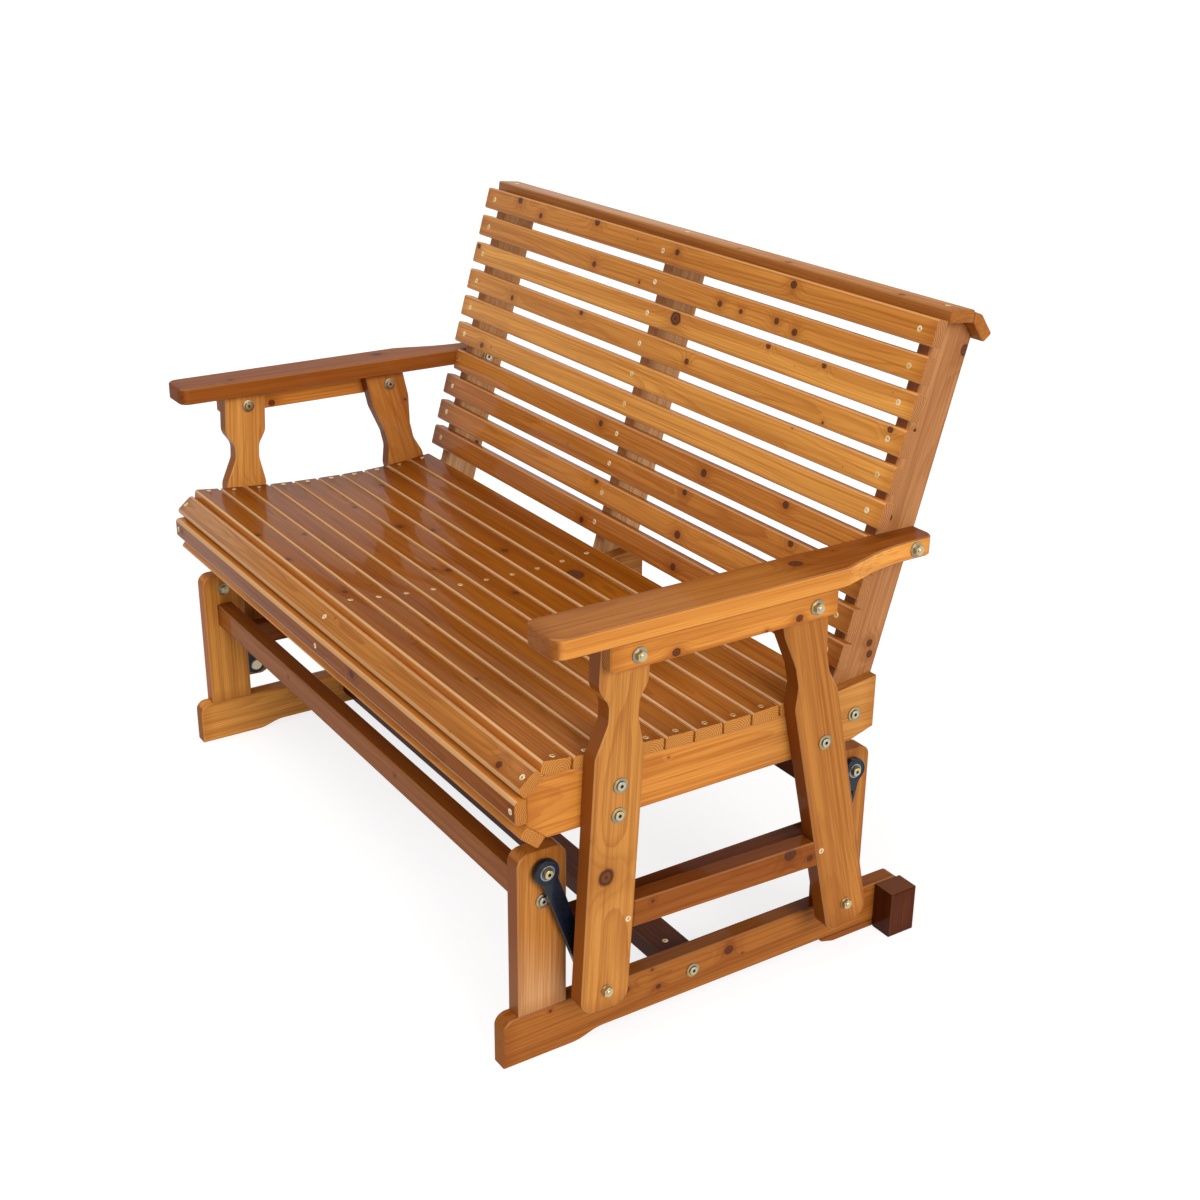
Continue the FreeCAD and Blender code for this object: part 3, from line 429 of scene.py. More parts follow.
def cedar(piece, board, wood):
    """Oiled cedar cut by rings round the log's heart, with fibres, knots and end grain, narrow faces darkened by
    painted shade, and arrises paled by wear and a painted highlight.
    """
    material, shader, place = new_material(
        "cedar_" + piece.name,
        {"Specular IOR Level": 0.02, "Coat Weight": wood.gloss, "Coat Roughness": 0.06},
    )
    origin, (half_long, half_wide, _) = board.reach(piece.data)
    turn = (board.seed * GOLDEN) % 1.0
    place = place.vector("SUBTRACT", tuple(origin))
    along = place.dot(board.grain)
    across = place.dot(board.wide)
    through = place.dot(board.thick)
    spot = place.add("CombineXYZ", {0: along + turn * 7.0, 1: across + turn * 3.0, 2: through})
    facing = place.add("TexCoord", output="Normal")
    broad = facing.dot(board.thick).size()
    edge = facing.dot(board.wide).size()
    end = facing.dot(board.grain).size().step(0.72, 0.92)

    # Distance to the nearest knot, in knot radii: small ones by chance, then those of the photograph
    flat = place.add("CombineXYZ", {0: along * KNOT_CELLS + turn * 31.0, 1: across * KNOT_CELLS + turn * 17.0})
    cell = flat.add("TexVoronoi", {"Vector": flat, "Scale": 1.0}, voronoi_dimensions="2D")
    tint = Wire(cell.tree, cell.socket.node.outputs["Color"]).dot((0.6, 0.3, 0.1))
    nearest = cell / KNOT_CELLS / ((tint * tint * 0.0075 + 0.0012) * board.wild)
    knots = list(board.knots)
    for point, size in board.marks:
        gap = side(point) - origin
        knots.append((gap.dot(board.grain), gap.dot(board.wide), size))
    for knot_along, knot_across, size in knots:
        radius = size * wood.knot_size
        gap_along = (along - knot_along) * (KNOT_STRETCH / radius)
        gap_across = (across - knot_across) * (1.0 / radius)
        nearest = nearest.maths("MINIMUM", gap_along.hypot(gap_across))
    wobble = spot.noise(7.0, 60.0)
    nearest = nearest + (wobble - 0.5) * 0.5
    on_face = broad.step(0.5, 0.8)
    knot = nearest.step(1.12, 0.8) * on_face
    halo = (nearest * nearest * -0.16).maths("EXPONENT") * on_face

    # Growth rings
    sway = spot.noise(1.6, 7.0, 1.0)
    radius = (across - board.heart[0]).hypot(through - board.heart[1])
    radius = radius + (sway - 0.5) * 0.030 + (wobble - 0.5) * 0.0035 + along * 0.012 + halo * 0.008
    rings = radius / wood.ring_spacing
    year = rings.maths("FLOOR")
    growth = rings.maths("FRACT")
    strength = year.add("TexWhiteNoise", {"W": year}, noise_dimensions="1D")
    late = growth.step(0.42, 0.93) * growth.step(1.0, 0.96)
    bands = rings * 0.17 + turn * 9.0
    bands = bands.add("TexNoise", {"W": bands, "Scale": 1.0, "Detail": 2.0}, noise_dimensions="1D")
    fibre = spot.noise(9.0, 520.0)
    hair = spot.noise(2.2, 230.0)
    streak = spot.noise(1.1, 95.0)
    cloud = spot.noise(1.4, 6.0)

    # Colour: the pale and the deep tone of each place, mixed by rings, bands, streaks and fibres
    pale, deep = tones(wood, board.shade, board.light)
    if board.fade:
        low, high, *tone = board.fade
        patch = (along + (wobble - 0.5) * 0.06 + (sway - 0.5) * half_long * 0.5).step(low, high)
        pale, deep = mixed(patch, (pale, deep), tones(wood, *tone))
    if board.sides:
        pale, deep = mixed(edge.step(0.72, 0.97), (pale, deep), tones(wood, *board.sides, 0.60))
    shade = pale
    for share, tone in (
        (late * (strength * 0.75 + 0.25) * (end * 0.45 + wood.ring_contrast), deep),
        (bands.step(0.42, 0.72) * 0.40, deep),
        (streak.step(0.48, 0.70) * 0.34, deep),
        (streak.step(0.50, 0.30) * 0.30, pale),
        (fibre.step(0.5, 0.68) * 0.26, deep),
        (hair.step(0.54, 0.61) * 0.34, deep),
        (cloud.step(0.40, 0.72) * 0.24, deep),
    ):
        shade = share.blend(shade, tone)

    # Darker near the ends and on the end grain, where the oil soaks in, and in a band along the long edges; the narrow
    # faces that board.edge darkens are painted shade
    soaked_and_shaded = along.size().step(half_long - 0.030, half_long) * 0.40
    for share in (
        across.size().step(half_wide - 0.007, half_wide - 0.001) * 0.36,
        end * 0.34,
        # Narrow faces darkened: painted shade
        edge.step(0.75, 0.92) * board.edge,
    ):
        soaked_and_shaded = soaked_and_shaded.maths("MAXIMUM", share)
    shade = soaked_and_shaded.blend(shade, deep)
    if board.ends:
        arcs = late * 0.8 + fibre.step(0.5, 0.7) * 0.2
        shade = end.blend(shade, arcs.blend(*tones(wood, *board.ends, 0.5, 1.12)))
    shade = (halo * 0.55).blend(shade, deep)
    whorl = (nearest * 11.0).maths("SINE").step(-0.2, 1.0)
    shade = (knot * (whorl * 0.20 + 0.80)).blend(shade, wood.knot)
    # Paler arrises: rubbed wear and a painted highlight where light catches the bevels
    bevel = (broad * edge).step(0.12, 0.34) * (cloud * 0.6 + 0.55) * board.worn_and_lit
    shade = bevel.blend(shade, wood.worn_and_lit)
    rough = fibre * 0.10 + end * 0.2 + knot * 0.06 + 0.36
    feed(shader, shade, rough, fibre * 0.6 + late * -0.35 + knot * 0.5, 0.30, 0.0003)
    return material


def frame_boards():
    """Every board of the base and of the seat frame, as the photograph shows it."""
    upright = (side(BACK_UP), quarter(BACK_UP))
    front_leg = (side(FRONT_LEG_UP), quarter(FRONT_LEG_UP))
    rear_leg = (side(REAR_LEG_UP), quarter(REAR_LEG_UP))
    level = (side(LEVEL), side(PLUMB))
    flat = (side(LEVEL), ALONG_X)
    post = (side(PLUMB), side(LEVEL))
    boards = {
        "front_cross_stretcher": Board(ALONG_X, side(PLUMB), "amber", 0.58, 3, (0.02, -0.05)),
        "rear_cross_stretcher": Board(ALONG_X, side(PLUMB), "umber", 0.95, 5, (0.02, -0.05)),
        "lower_cross_stretcher": Board(ALONG_X, side(LEVEL), "umber", 0.83, 6, (0.02, -0.05)),
        "centre_seat_rail": Board(*level, "amber", 0.9, 7, (0.03, -0.06)),
        # Pale tone of the arris colour: partly pale wood, partly painted light over its shade behind the back slats
        "centre_back_upright": Board(*upright, "worn_and_lit", 0.90, 8, (0.02, -0.09), ends=("amber", 0.9)),
        "roll_slat": Board(ALONG_X, side(ROLL), "amber", 0.88, 95, (0.01, -0.06)),
    }
    for index, (name, _) in enumerate(SIDES):
        seed = 11 + index * 40
        right = name == "right"
        pieces = {
            # The left rail is paler than the right: painted light where the left frame stands in shade
            "foot_rail": Board(
                *level, *(("amber", 0.68) if right else ("honey", 1.15)), seed, (0.02, 0.05), ends=("russet", 1.1),
                marks=(((-0.001, 0.057), 0.0055), ((-0.183, 0.055), 0.0045), ((-0.126, 0.040), 0.0035))),
            "rear_foot_pad": Board(*flat, "amber", 0.72, seed + 1),
            "stop_block": Board(
                *post, "umber", 0.72, seed + 2, (0.01, -0.04), ends=("umber", 1.3), wild=0.2, worn_and_lit=0.04),
            # The left post is paler than the right: painted light where the left frame stands in shade
            "front_post": Board(
                *post, *(("amber", 0.86) if right else ("honey", 1.06)), seed + 3, (0.055, -0.075),
                fade=(0.02, -0.10, "sapwood", 1.15) if right else None, edge=1.0),
            "rear_post": Board(*post, "amber", 0.86, seed + 4, (-0.05, -0.06), edge=1.0),
            "base_side_stretcher": Board(*level, "amber", 0.48, seed + 5, (0.01, -0.05), edge=0.5),
            # The left leg is a little paler than the right: painted light where the left frame stands in shade
            "front_leg": Board(
                *front_leg, "amber", 0.95 if right else 1.08, seed + 6, (0.016, 0.12), edge=1.0,
                marks=(((-0.256, 0.296), 0.0095),) if right else (((-0.24, 0.45), 0.006),)),
            "rear_leg": Board(*rear_leg, "amber", 0.82, seed + 7, (-0.03, 0.11), edge=1.0),
            "seat_side_stretcher": Board(
                *level, "amber", 0.52, seed + 8, (0.01, -0.06), edge=0.5,
                marks=(((0.056, 0.229), 0.007), ((0.093, 0.212), 0.004))),
            "arm_cleat": Board(
                *level, "honey", 0.90, seed + 9, (0.02, -0.05), ends=("amber", 0.8),
                marks=(((-0.167, 0.607), 0.0045), ((0.031, 0.608), 0.004))),
            "armrest": Board(
                *flat, "amber", 0.74 if right else 0.48, seed + 10, (-0.02, -0.07), knots=((0.085, -0.01, 0.007),),
                fade=(0.0, 0.12, "amber", 0.52), sides=("honey", 1.12) if right else ("amber", 0.62)),
            "seat_rail": Board(
                *level, "honey", 0.93, seed + 11, (0.01, 0.11), fade=(0.02, 0.2, "amber", 1.0), edge=0.3),
            # The left upright takes the pale tone of the arris colour: partly pale wood, partly painted light over its
            # shade behind the back slats
            "back_upright": Board(
                *upright, *(("sapwood", 1.0) if right else ("worn_and_lit", 0.9)), seed + 12, (0.03, 0.08),
                marks=(((0.352, 0.911), 0.006), ((0.220, 0.485), 0.004))),
        }
        boards.update((name + "_" + piece, board) for piece, board in pieces.items())
    return boards


# Knots of the back slats, top slat first: along the slat and across it, in metres, with a radius
BACK_KNOTS = (
    ((-0.488, 0.012, 0.005), (-0.409, -0.004, 0.004), (-0.229, 0.014, 0.005), (0.011, 0.004, 0.004),
     (0.305, 0.008, 0.0045)),
    ((-0.209, -0.004, 0.004), (0.149, -0.001, 0.004), (0.203, -0.002, 0.003), (0.289, 0.001, 0.004),
     (0.334, -0.006, 0.004)),
    ((-0.595, 0.012, 0.004), (0.050, 0.007, 0.009), (0.286, 0.014, 0.0035), (0.415, 0.014, 0.0035)),
    ((-0.440, -0.006, 0.004), (-0.212, 0.014, 0.0035), (0.105, 0.0, 0.004), (0.577, 0.013, 0.004)),
    (),
    ((-0.506, -0.007, 0.004),),
    ((-0.078, 0.005, 0.004), (0.217, 0.002, 0.005), (0.416, 0.010, 0.0045)),
    ((0.184, 0.012, 0.004), (0.448, 0.012, 0.004)),
    ((-0.050, 0.015, 0.004), (0.193, -0.004, 0.005)),
    ((-0.065, -0.008, 0.004), (0.203, -0.003, 0.0045)),
)
BACK_LIGHT = (0.92, 0.94, 1.16, 1.08, 1.12, 1.14, 0.82, 0.82, 0.86, 0.71)
# Knots of the seat: slat counted from the front, along it, across it, radius
SEAT_KNOTS = (
    (0, -0.334, -0.015, 0.0045), (0, -0.203, -0.016, 0.004), (0, -0.036, 0.007, 0.004), (1, -0.317, 0.016, 0.004),
    (4, -0.421, 0.014, 0.004), (4, -0.067, 0.014, 0.0045), (5, -0.292, -0.010, 0.005), (5, 0.071, 0.013, 0.004),
    (6, -0.509, 0.015, 0.0045), (6, -0.248, -0.016, 0.004), (7, -0.099, -0.005, 0.0045), (8, 0.059, -0.012, 0.012),
)
SEAT_LIGHT = (1.0, 1.04, 0.98, 1.0, 1.06, 0.96, 1.0, 0.96, 1.02, 0.92)


@dataclass
class Slat:
    """One slat: where it lies, how big it is, its board and where its screws go."""

    name: str
    node: str
    centre: Vector
    size: tuple
    board: Board
    screws: tuple
    round_over: float


def seat_slats():
    """The ten flat slats of the dished seat."""
    low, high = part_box("seat_slats")
    size = (high.x - low.x, SEAT_SLAT_WIDE, SEAT_SLAT_THICK)
    slats = []
    for index, (top, out) in enumerate(SEAT_TOPS):
        knots = tuple(knot[1:] for knot in SEAT_KNOTS if knot[0] == index)
        heart = (0.016 * math.sin(index * 1.9 + 0.6), -0.008 - 0.016 * (index * 0.43 % 1.0))
        # Paler fronts and arrises of the seat slats: a painted highlight where light catches them
        board = Board(
            ALONG_X, Vector((0.0, out.z, -out.y)), "russet", SEAT_LIGHT[index], 80 + index, heart, knots,
            fade=(0.08, 0.56, "amber", 0.64), ends=("amber", 0.95), sides=("honey", 0.85), wild=0.5, worn_and_lit=0.8
        )
        centre = top - out * SEAT_SLAT_THICK / 2
        name = "seat_slat_%02d" % (index + 1)
        slats.append(Slat(name, "seat_slats", centre, size, board, RAIL_X, SEAT_ROUND_OVER))
    return slats


def single_slats():
    """Nose, back and cap slats, each from its own CAD node."""
    boards = {
        # Paler narrow faces and arrises of the nose slats: a painted highlight where light catches them
        "bevel_nose_slat": (NOSE_WIDE, Board(
            ALONG_X, side(BEVEL_NOSE), "amber", 0.80, 91, (0.004, -0.012), ((0.545, -0.006, 0.004),),
            fade=(-0.10, -0.45, "sapwood", 1.0), ends=("amber", 0.9), sides=("honey", 0.9), wild=0.4, worn_and_lit=0.5)),
        "fascia_slat": (NOSE_WIDE, Board(
            ALONG_X, side(PLUMB), "amber", 0.50, 92, (-0.006, -0.014), ((0.13, 0.004, 0.0045),),
            ends=("amber", 0.85), sides=("honey", 1.0), worn_and_lit=0.7)),
        "under_nose_slat": (NOSE_WIDE, Board(
            ALONG_X, side(UNDER_NOSE), "honey", 1.02, 93, (0.0, 0.0), ends=("amber", 0.9))),
        "cap_slat": (CAP_WIDE, Board(
            ALONG_X, side(CAP), "amber", 0.90, 94, (0.01, -0.05), ((0.25, -0.014, 0.004), (0.50, -0.014, 0.004)))),
    }
    for slat, (light, knots) in enumerate(zip(BACK_LIGHT, BACK_KNOTS), 1):
        heart = (0.024 * math.sin(slat * 2.4), -0.014 - 0.03 * (slat * 0.37 % 1.0))
        boards["back_slat_%02d" % slat] = (BACK_SLAT_WIDE, Board(
            ALONG_X, side(BACK_UP), "honey", light, 100 + slat, heart, knots,
            ends=("sapwood", 0.9), wild=0.45, worn_and_lit=0.4))
    slats = []
    for node, (wide, board) in boards.items():
        low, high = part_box(node)
        centre = (low + high) / 2
        if node == "bevel_nose_slat":
            # It runs on until it tucks in under the first seat slat
            centre = centre + board.wide * (NOSE_TUCK / 2)
            wide = wide + NOSE_TUCK
        screws = RAIL_X if "nose" in node or "fascia" in node else UPRIGHT_X
        round_over = NOSE_ROUND_OVER if node in ("fascia_slat", "bevel_nose_slat") else BACK_ROUND_OVER
        size = (high.x - low.x, wide, SLAT_THICK)
        slats.append(Slat(node + "_shaped", node, centre, size, board, screws, round_over))
    return slats


# Metal

def paint(name, metal):
    """Gloss paint with a faint orange peel and a little dust."""
    material, shader, place = new_material(
        name, {"Coat Weight": 0.2, "Coat Roughness": 0.06, "Specular IOR Level": 0.25}
    )
    dust = place.noise(60.0, detail=4.0)
    base = Vector(metal.link_paint)
    shade = (dust.step(0.45, 0.8) * 0.5).blend(base, base * 2.6)
    feed(shader, shade, 0.20 + dust * 0.16, place.noise(420.0), 0.25, 0.0002)
    return material


def plate(name, colour, tint, rough=0.24):
    """Zinc plate whose tint and brightness drift from place to place."""
    material, shader, place = new_material(name, {"Metallic": 1.0})
    grain = place.noise(900.0, detail=3.0)
    shade = place.noise(90.0).step(0.38, 0.66).blend(Vector(colour), Vector(tint))
    shade = (grain.step(0.45, 0.75) * 0.35).blend(shade, Vector(colour) * 0.5)
    feed(shader, shade, rough + grain * 0.16, grain, 0.2, 0.0001)
    return material


def zinc_finishes(metal):
    """Bright heads, duller washers, golden nuts, and near-black plate as painted shade in the recesses."""
    zinc, golden = Vector(metal.zinc), Vector(metal.yellow_zinc)
    return {
        "head": plate("zinc_head", zinc, golden),
        "washer": plate("zinc_washer", zinc * 0.55, golden * 0.7, 0.34),
        "nut": plate("zinc_nut", golden, zinc),
        # Painted shade: near-black plate for sockets, the step under the heads and the screws' cross recesses
        "recess": plate("zinc_recess", zinc * 0.06, golden * 0.14, 0.5),
    }


def bearing_steel(name, metal, pivots):
    """Races and shield drawn as rings round the two pivots."""
    material, shader, place = new_material(name, {"Metallic": 1.0})
    flat = place.vector("MULTIPLY", (0.0, 1.0, 1.0))
    upper, lower = (flat.vector("DISTANCE", (0.0, *pivot), output="Value") for pivot in pivots)
    ring = upper.maths("MINIMUM", lower)

    def band(low, high, soft=0.0003):
        """1 between two radii."""
        return ring.step(low, low + soft) * ring.step(high, high - soft)

    shield = band(*BEARING_SHIELD)
    inner, outer = (band(*seam) for seam in BEARING_SEAMS)
    seam = inner + outer
    grain = (ring * 9000.0).maths("SINE")
    steel = Vector(metal.bearing)
    shade = (seam * 0.9).blend((shield * 0.75).blend(steel, steel * 0.22), steel * 0.04)
    feed(shader, shade, 0.30 + grain * 0.04 + shield * 0.12)
    return material


def oiled_and_shaded_rim(wood):
    """Wood round a screw's head, darkened partly by soaked oil and partly as painted shade."""
    material, shader, place = new_material("countersink_oil_and_shade", {"Specular IOR Level": 0.2})
    grain = place.noise(400.0)
    feed(shader, grain.blend(Vector(wood.umber) * 0.6, Vector(wood.umber) * 1.3), 0.5 + grain * 0.2)
    return material


# Modelling

def choose(*pieces):
    """Selects these pieces alone, the first one active."""
    bpy.ops.object.select_all(action="DESELECT")
    for piece in pieces:
        piece.select_set(True)
    bpy.context.view_layer.objects.active = pieces[0]


def added(operator, **settings):
    """The object that an operator adds, selected alone."""
    bpy.ops.object.select_all(action="DESELECT")
    operator(**settings)
    return bpy.context.object


def bar(name, radius, low, high, sides=32):
    """Round or polygonal bar on the Z axis, its ends closed."""
    piece = added(
        bpy.ops.mesh.primitive_cylinder_add,
        vertices=sides, radius=radius, depth=high - low, location=(0.0, 0.0, (low + high) / 2),
    )
    piece.name = name
    bpy.ops.object.transform_apply(location=True, rotation=True, scale=True)
    return piece


def block(name, long, wide, high, lift=0.0):
    """Box with its middle on the Z axis."""
    piece = added(bpy.ops.mesh.primitive_cube_add, size=1.0)
    piece.name = name
    piece.data.transform(Matrix.Translation((0.0, 0.0, lift)) @ Matrix.Diagonal((long, wide, high, 1.0)))
    return piece


def edit(piece, kind, picked, steps):
    """Runs edit-mode steps on the faces or edges picked from a piece's mesh."""
    choose(piece)
    bpy.ops.object.mode_set(mode="EDIT")
    bpy.ops.mesh.select_mode(type=kind)
    bpy.ops.mesh.select_all(action="DESELECT")
    bpy.ops.object.mode_set(mode="OBJECT")
    for part in picked(piece.data):
        part.select = True
    bpy.ops.object.mode_set(mode="EDIT")
    for step in steps:
        step()
    bpy.ops.object.mode_set(mode="OBJECT")


def shape(piece, pick, *steps):
    """Runs edit-mode steps on the faces picked by centre and normal."""
    edit(piece, "FACE", lambda mesh: [face for face in mesh.polygons if pick(face.center, face.normal)], steps)


def round_edges(piece, pick, offset, segments):
    """Rounds the edges picked by their two ends."""
    def picked(mesh):
        return [edge for edge in mesh.edges if pick(*(mesh.vertices[end].co for end in edge.vertices))]

    edit(piece, "EDGE", picked, [lambda: bpy.ops.mesh.bevel(offset=offset, segments=segments, affect="EDGES")])


def top_face(centre, normal):
    return normal.z > 0.99 and centre.xy.length < 1e-5


def inset(amount):
    return lambda: bpy.ops.mesh.inset(thickness=amount, depth=0.0)


def raise_by(height, grow=1.0):
    """Extrudes the picked face up or down and scales its rim."""
    def step():
        bpy.ops.mesh.extrude_region_move(TRANSFORM_OT_translate={"value": (0.0, 0.0, height)})
        bpy.ops.transform.resize(value=(grow, grow, 1.0), center_override=(0.0, 0.0, 0.0))
    return step


def bevelled(piece, width, segments=2):
    """Rounds the rims of a round piece."""
    choose(piece)
    edge = piece.modifiers.new("edge", "BEVEL")
    edge.width = width
    edge.segments = segments
    edge.limit_method = "ANGLE"
    edge.angle_limit = math.radians(60.0)
    bpy.ops.object.modifier_apply(modifier=edge.name)
    return piece


def carved(piece, tool, operation="DIFFERENCE"):
    """Cuts a tool out of a piece, or adds the two, or keeps what they share."""
    choose(piece)
    cut = piece.modifiers.new("cut", "BOOLEAN")
    cut.operation = operation
    cut.object = tool
    cut.solver = "EXACT"
    cut.material_mode = "TRANSFER"
    bpy.ops.object.modifier_apply(modifier=cut.name)
    bpy.data.objects.remove(tool)
    return piece


def joined(name, pieces, angle=35.0):
    """Joins pieces into one object with smooth rounds and crisp edges."""
    choose(*pieces)
    if len(pieces) > 1:
        bpy.ops.object.join()
    piece = bpy.context.object
    piece.name = name
    bpy.ops.object.shade_smooth_by_angle(angle=math.radians(angle))
    return piece


def own_copy(master, placing):
    """Copy of a master with its own mesh, placed in that mesh."""
    copy = master.copy()
    copy.data = master.data.copy()
    bpy.context.scene.collection.objects.link(copy)
    copy.data.transform(placing)
    return copy


def copy_at(master, point, out):
    """Own copy of a master made about +Z, set on a point and facing out."""
    turn = Vector(out).to_track_quat("Z", "Y").to_matrix().to_4x4()
    return own_copy(master, Matrix.Translation(Vector(point)) @ turn)


def drop(*masters):
    for master in masters:
        bpy.data.objects.remove(master)


def slat_blank(long, wide, thick, round_over):
    """Slat on the X axis, its upper edges rounded over and the others eased."""
    slat = block("slat_blank", long, wide, thick)

    def lengthwise(first, second):
        return abs(first.x - second.x) > long / 2

    def upper(first, second):
        return lengthwise(first, second) and first.z > 0

    def lower(first, second):
        return lengthwise(first, second) and max(first.z, second.z) < TINY - thick / 2

    def end(first, second):
        return min(abs(first.x), abs(second.x)) > long / 2 - TINY and abs(first.x - second.x) < TINY

    round_edges(slat, upper, round_over, 5)
    round_edges(slat, end, END_EASE, 2)
    round_edges(slat, lower, UNDER_EASE, 1)
    return joined("slat_blank", [slat], 40.0)


def coated(piece, material):
    """Gives every face of a piece one material."""
    piece.data.materials.clear()
    piece.data.materials.append(material)
    return piece


def hang(piece, body):
    """Makes a metal piece move with a body."""
    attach(piece, body)


def washer(sizes, radius, finish):
    """Flat washer with its edge rounded."""
    return coated(bevelled(bar("washer", radius, 0.0, sizes.washer_thick), 0.0005), finish["washer"])


def button_head(sizes, around, finish):
    """Low domed head with a hexagon socket and a step round its rim, both painted dark as shade, on its washer."""
    seat = sizes.washer_thick
    top = seat + sizes.head_high
    # The step and the socket take the near-black plate: painted shade
    flange = coated(bar("flange", sizes.head_radius, seat - OVERLAP, seat + FLANGE_HIGH), finish["recess"])
    head = bar("head", sizes.head_radius * DOME_SHARE, seat + OVERLAP, top)
    shape(head, top_face, inset(0.0004))
    coated(bevelled(head, 0.0013, 4), finish["head"])
    socket = coated(bar("socket", SOCKET_RADIUS, top - SOCKET_DEEP, top + 0.001, 6), finish["recess"])
    return joined("button_head", [carved(head, socket), flange, washer(sizes, around, finish)])


def threaded_nut(sizes, around, finish):
    """Hexagon nut with turned corners on its washer, the bolt's threaded end showing."""
    seat = sizes.washer_thick
    top = seat + sizes.nut_high
    corner = sizes.nut_flats / 2 / math.cos(math.pi / 6)
    nut = coated(bar("nut", corner, seat, top, 6), finish["nut"])
    turned = bevelled(bar("turned", corner + 0.0001, seat - 0.0001, top), 0.0012, 1)
    carved(nut, coated(turned, finish["nut"]), "INTERSECT")
    shape(nut, top_face, inset(0.0022), raise_by(-0.0006, 0.9))
    stub = coated(bar("stub", sizes.bolt_radius * THREAD_SHARE, seat, top - 0.0003, 20), finish["head"])
    pitch = sizes.bolt_stub / 4
    turns = []
    for _ in range(2):
        turns += [raise_by(pitch * 0.5, 1.1), raise_by(pitch * 0.5, 1.0 / 1.1)]
    turns += [raise_by(pitch, 1.08), raise_by(pitch, 0.86)]
    shape(stub, top_face, *turns)
    return joined("threaded_nut", [nut, stub, washer(sizes, around, finish)])


def rod(radius, start, end, sides=32, ease=0.0006, segments=2):
    """Round bar between two points, its rims eased."""
    span = end - start
    master = bevelled(bar("rod", radius, 0.0, span.length, sides), ease, segments)
    placed = copy_at(master, start, span)
    drop(master)
    return placed


@dataclass
class Line:
    """A line along X through a point of the side view, on one side of the bench."""

    sign: int
    point: tuple

    def at(self, x):
        return Vector((self.sign * x, *self.point))

    def outward(self, master, x):
        """Copy of a master, facing away from the bench's middle."""
        return copy_at(master, self.at(x), (self.sign, 0.0, 0.0))

    def inward(self, master, x):
        """Copy of a master, facing the bench's middle."""
        return copy_at(master, self.at(x), (-self.sign, 0.0, 0.0))

    def shank(self, sizes, start, end):
        """Bolt shank between two faces."""
        return rod(sizes.bolt_radius, self.at(start), self.at(end), 12, 0.0004, 1)

    def spacer(self, sizes, start, end):
        """Turned spacer between two faces."""
        return rod(sizes.spacer_radius, self.at(start), self.at(end))

    def bolt(self, sizes, head, nut, head_x, nut_x):
        """Bolt, nut and shank between two faces."""
        head_way, nut_way = (self.outward, self.inward) if head_x > nut_x else (self.inward, self.outward)
        return [head_way(head, head_x), nut_way(nut, nut_x), self.shank(sizes, head_x, nut_x)]


def fitted(name, parts, body, node):
    """Joins metal parts into one piece that moves with a body and stands for a CAD node."""
    piece = joined(name, parts)
    hang(piece, body)
    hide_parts(node)


# Operators

class GliderOperator:
    """What the dressing operators share."""

    bl_options = {"REGISTER", "UNDO"}

    def execute(self, context):
        self.dress(context.scene)
        return {"FINISHED"}


class GLIDER_OT_frame_boards(GliderOperator, bpy.types.Operator):
    """Gives every board of the base and the seat frame its cedar"""

    bl_idname = "glider.frame_boards"
    bl_label = "Frame boards"

    def dress(self, scene):
        for node, board in frame_boards().items():
            clad(node, cedar(nodes[node], board, scene.glider_wood))


class GLIDER_OT_slats(GliderOperator, bpy.types.Operator):
    """Shapes every slat with its rounded edges and gives it its cedar"""

    bl_idname = "glider.slats"
    bl_label = "Slats"

    def dress(self, scene):
        blanks = {}
        for slat in seat_slats() + single_slats():
            size = tuple(round(length, 5) for length in (*slat.size, slat.round_over))
            if size not in blanks:
                blanks[size] = slat_blank(*size)
            board = slat.board
            axes = Matrix((board.grain, board.wide, board.thick)).transposed().to_4x4()
            piece = own_copy(blanks[size], Matrix.Translation(slat.centre) @ axes)
            piece.name = slat.name
            piece.data.materials.append(cedar(piece, board, scene.glider_wood))
            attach(piece, "seat")
            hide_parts(slat.node)
        drop(*blanks.values())


class GLIDER_OT_links(GliderOperator, bpy.types.Operator):
    """Paints the swing links and adds the raised rims round their eyes"""

    bl_idname = "glider.links"
    bl_label = "Swing links"

    def dress(self, scene):
        gloss = paint("link_paint", scene.glider_metal)
        rims = []
        for radius, thick in LINK_RIMS:
            rim = added(
                bpy.ops.mesh.primitive_torus_add,
                major_radius=radius, minor_radius=thick, major_segments=40, minor_segments=8,
            )
            shape(rim, lambda centre, normal: True, lambda: bpy.ops.transform.resize(
                value=(1.0, 1.0, 0.6), center_override=(0.0, 0.0, 0.0)))
            rims.append(rim)
        rim = joined("rim", rims)
        for body, name, pivots in (
            ("front_links", "front_link", (FRONT_UPPER, FRONT_LOWER)),
            ("rear_links", "rear_link", (REAR_UPPER, REAR_LOWER)),
        ):
            copies = []
            for side_name, sign in SIDES:
                clad(side_name + "_" + name, gloss)
                for pivot in pivots:
                    # The leg's half of the rear pin slides over the outer face there, so it stays flat
                    faces = (LINK_INNER,) if pivot == REAR_LOWER else (LINK_INNER, LINK_OUTER)
                    copies += [Line(sign, pivot).outward(rim, face) for face in faces]
            hang(coated(joined(name + "_rims", copies), gloss), body)
        drop(rim)


class GLIDER_OT_bearings(GliderOperator, bpy.types.Operator):
    """Gives the bearings their races and shields"""

    bl_idname = "glider.bearings"
    bl_label = "Bearings"

    def dress(self, scene):
        for name, pivots in (("front", (FRONT_UPPER, FRONT_LOWER)), ("rear", (REAR_UPPER, REAR_LOWER))):
            clad(name + "_link_bearings", bearing_steel(name + "_bearing", scene.glider_metal, pivots))


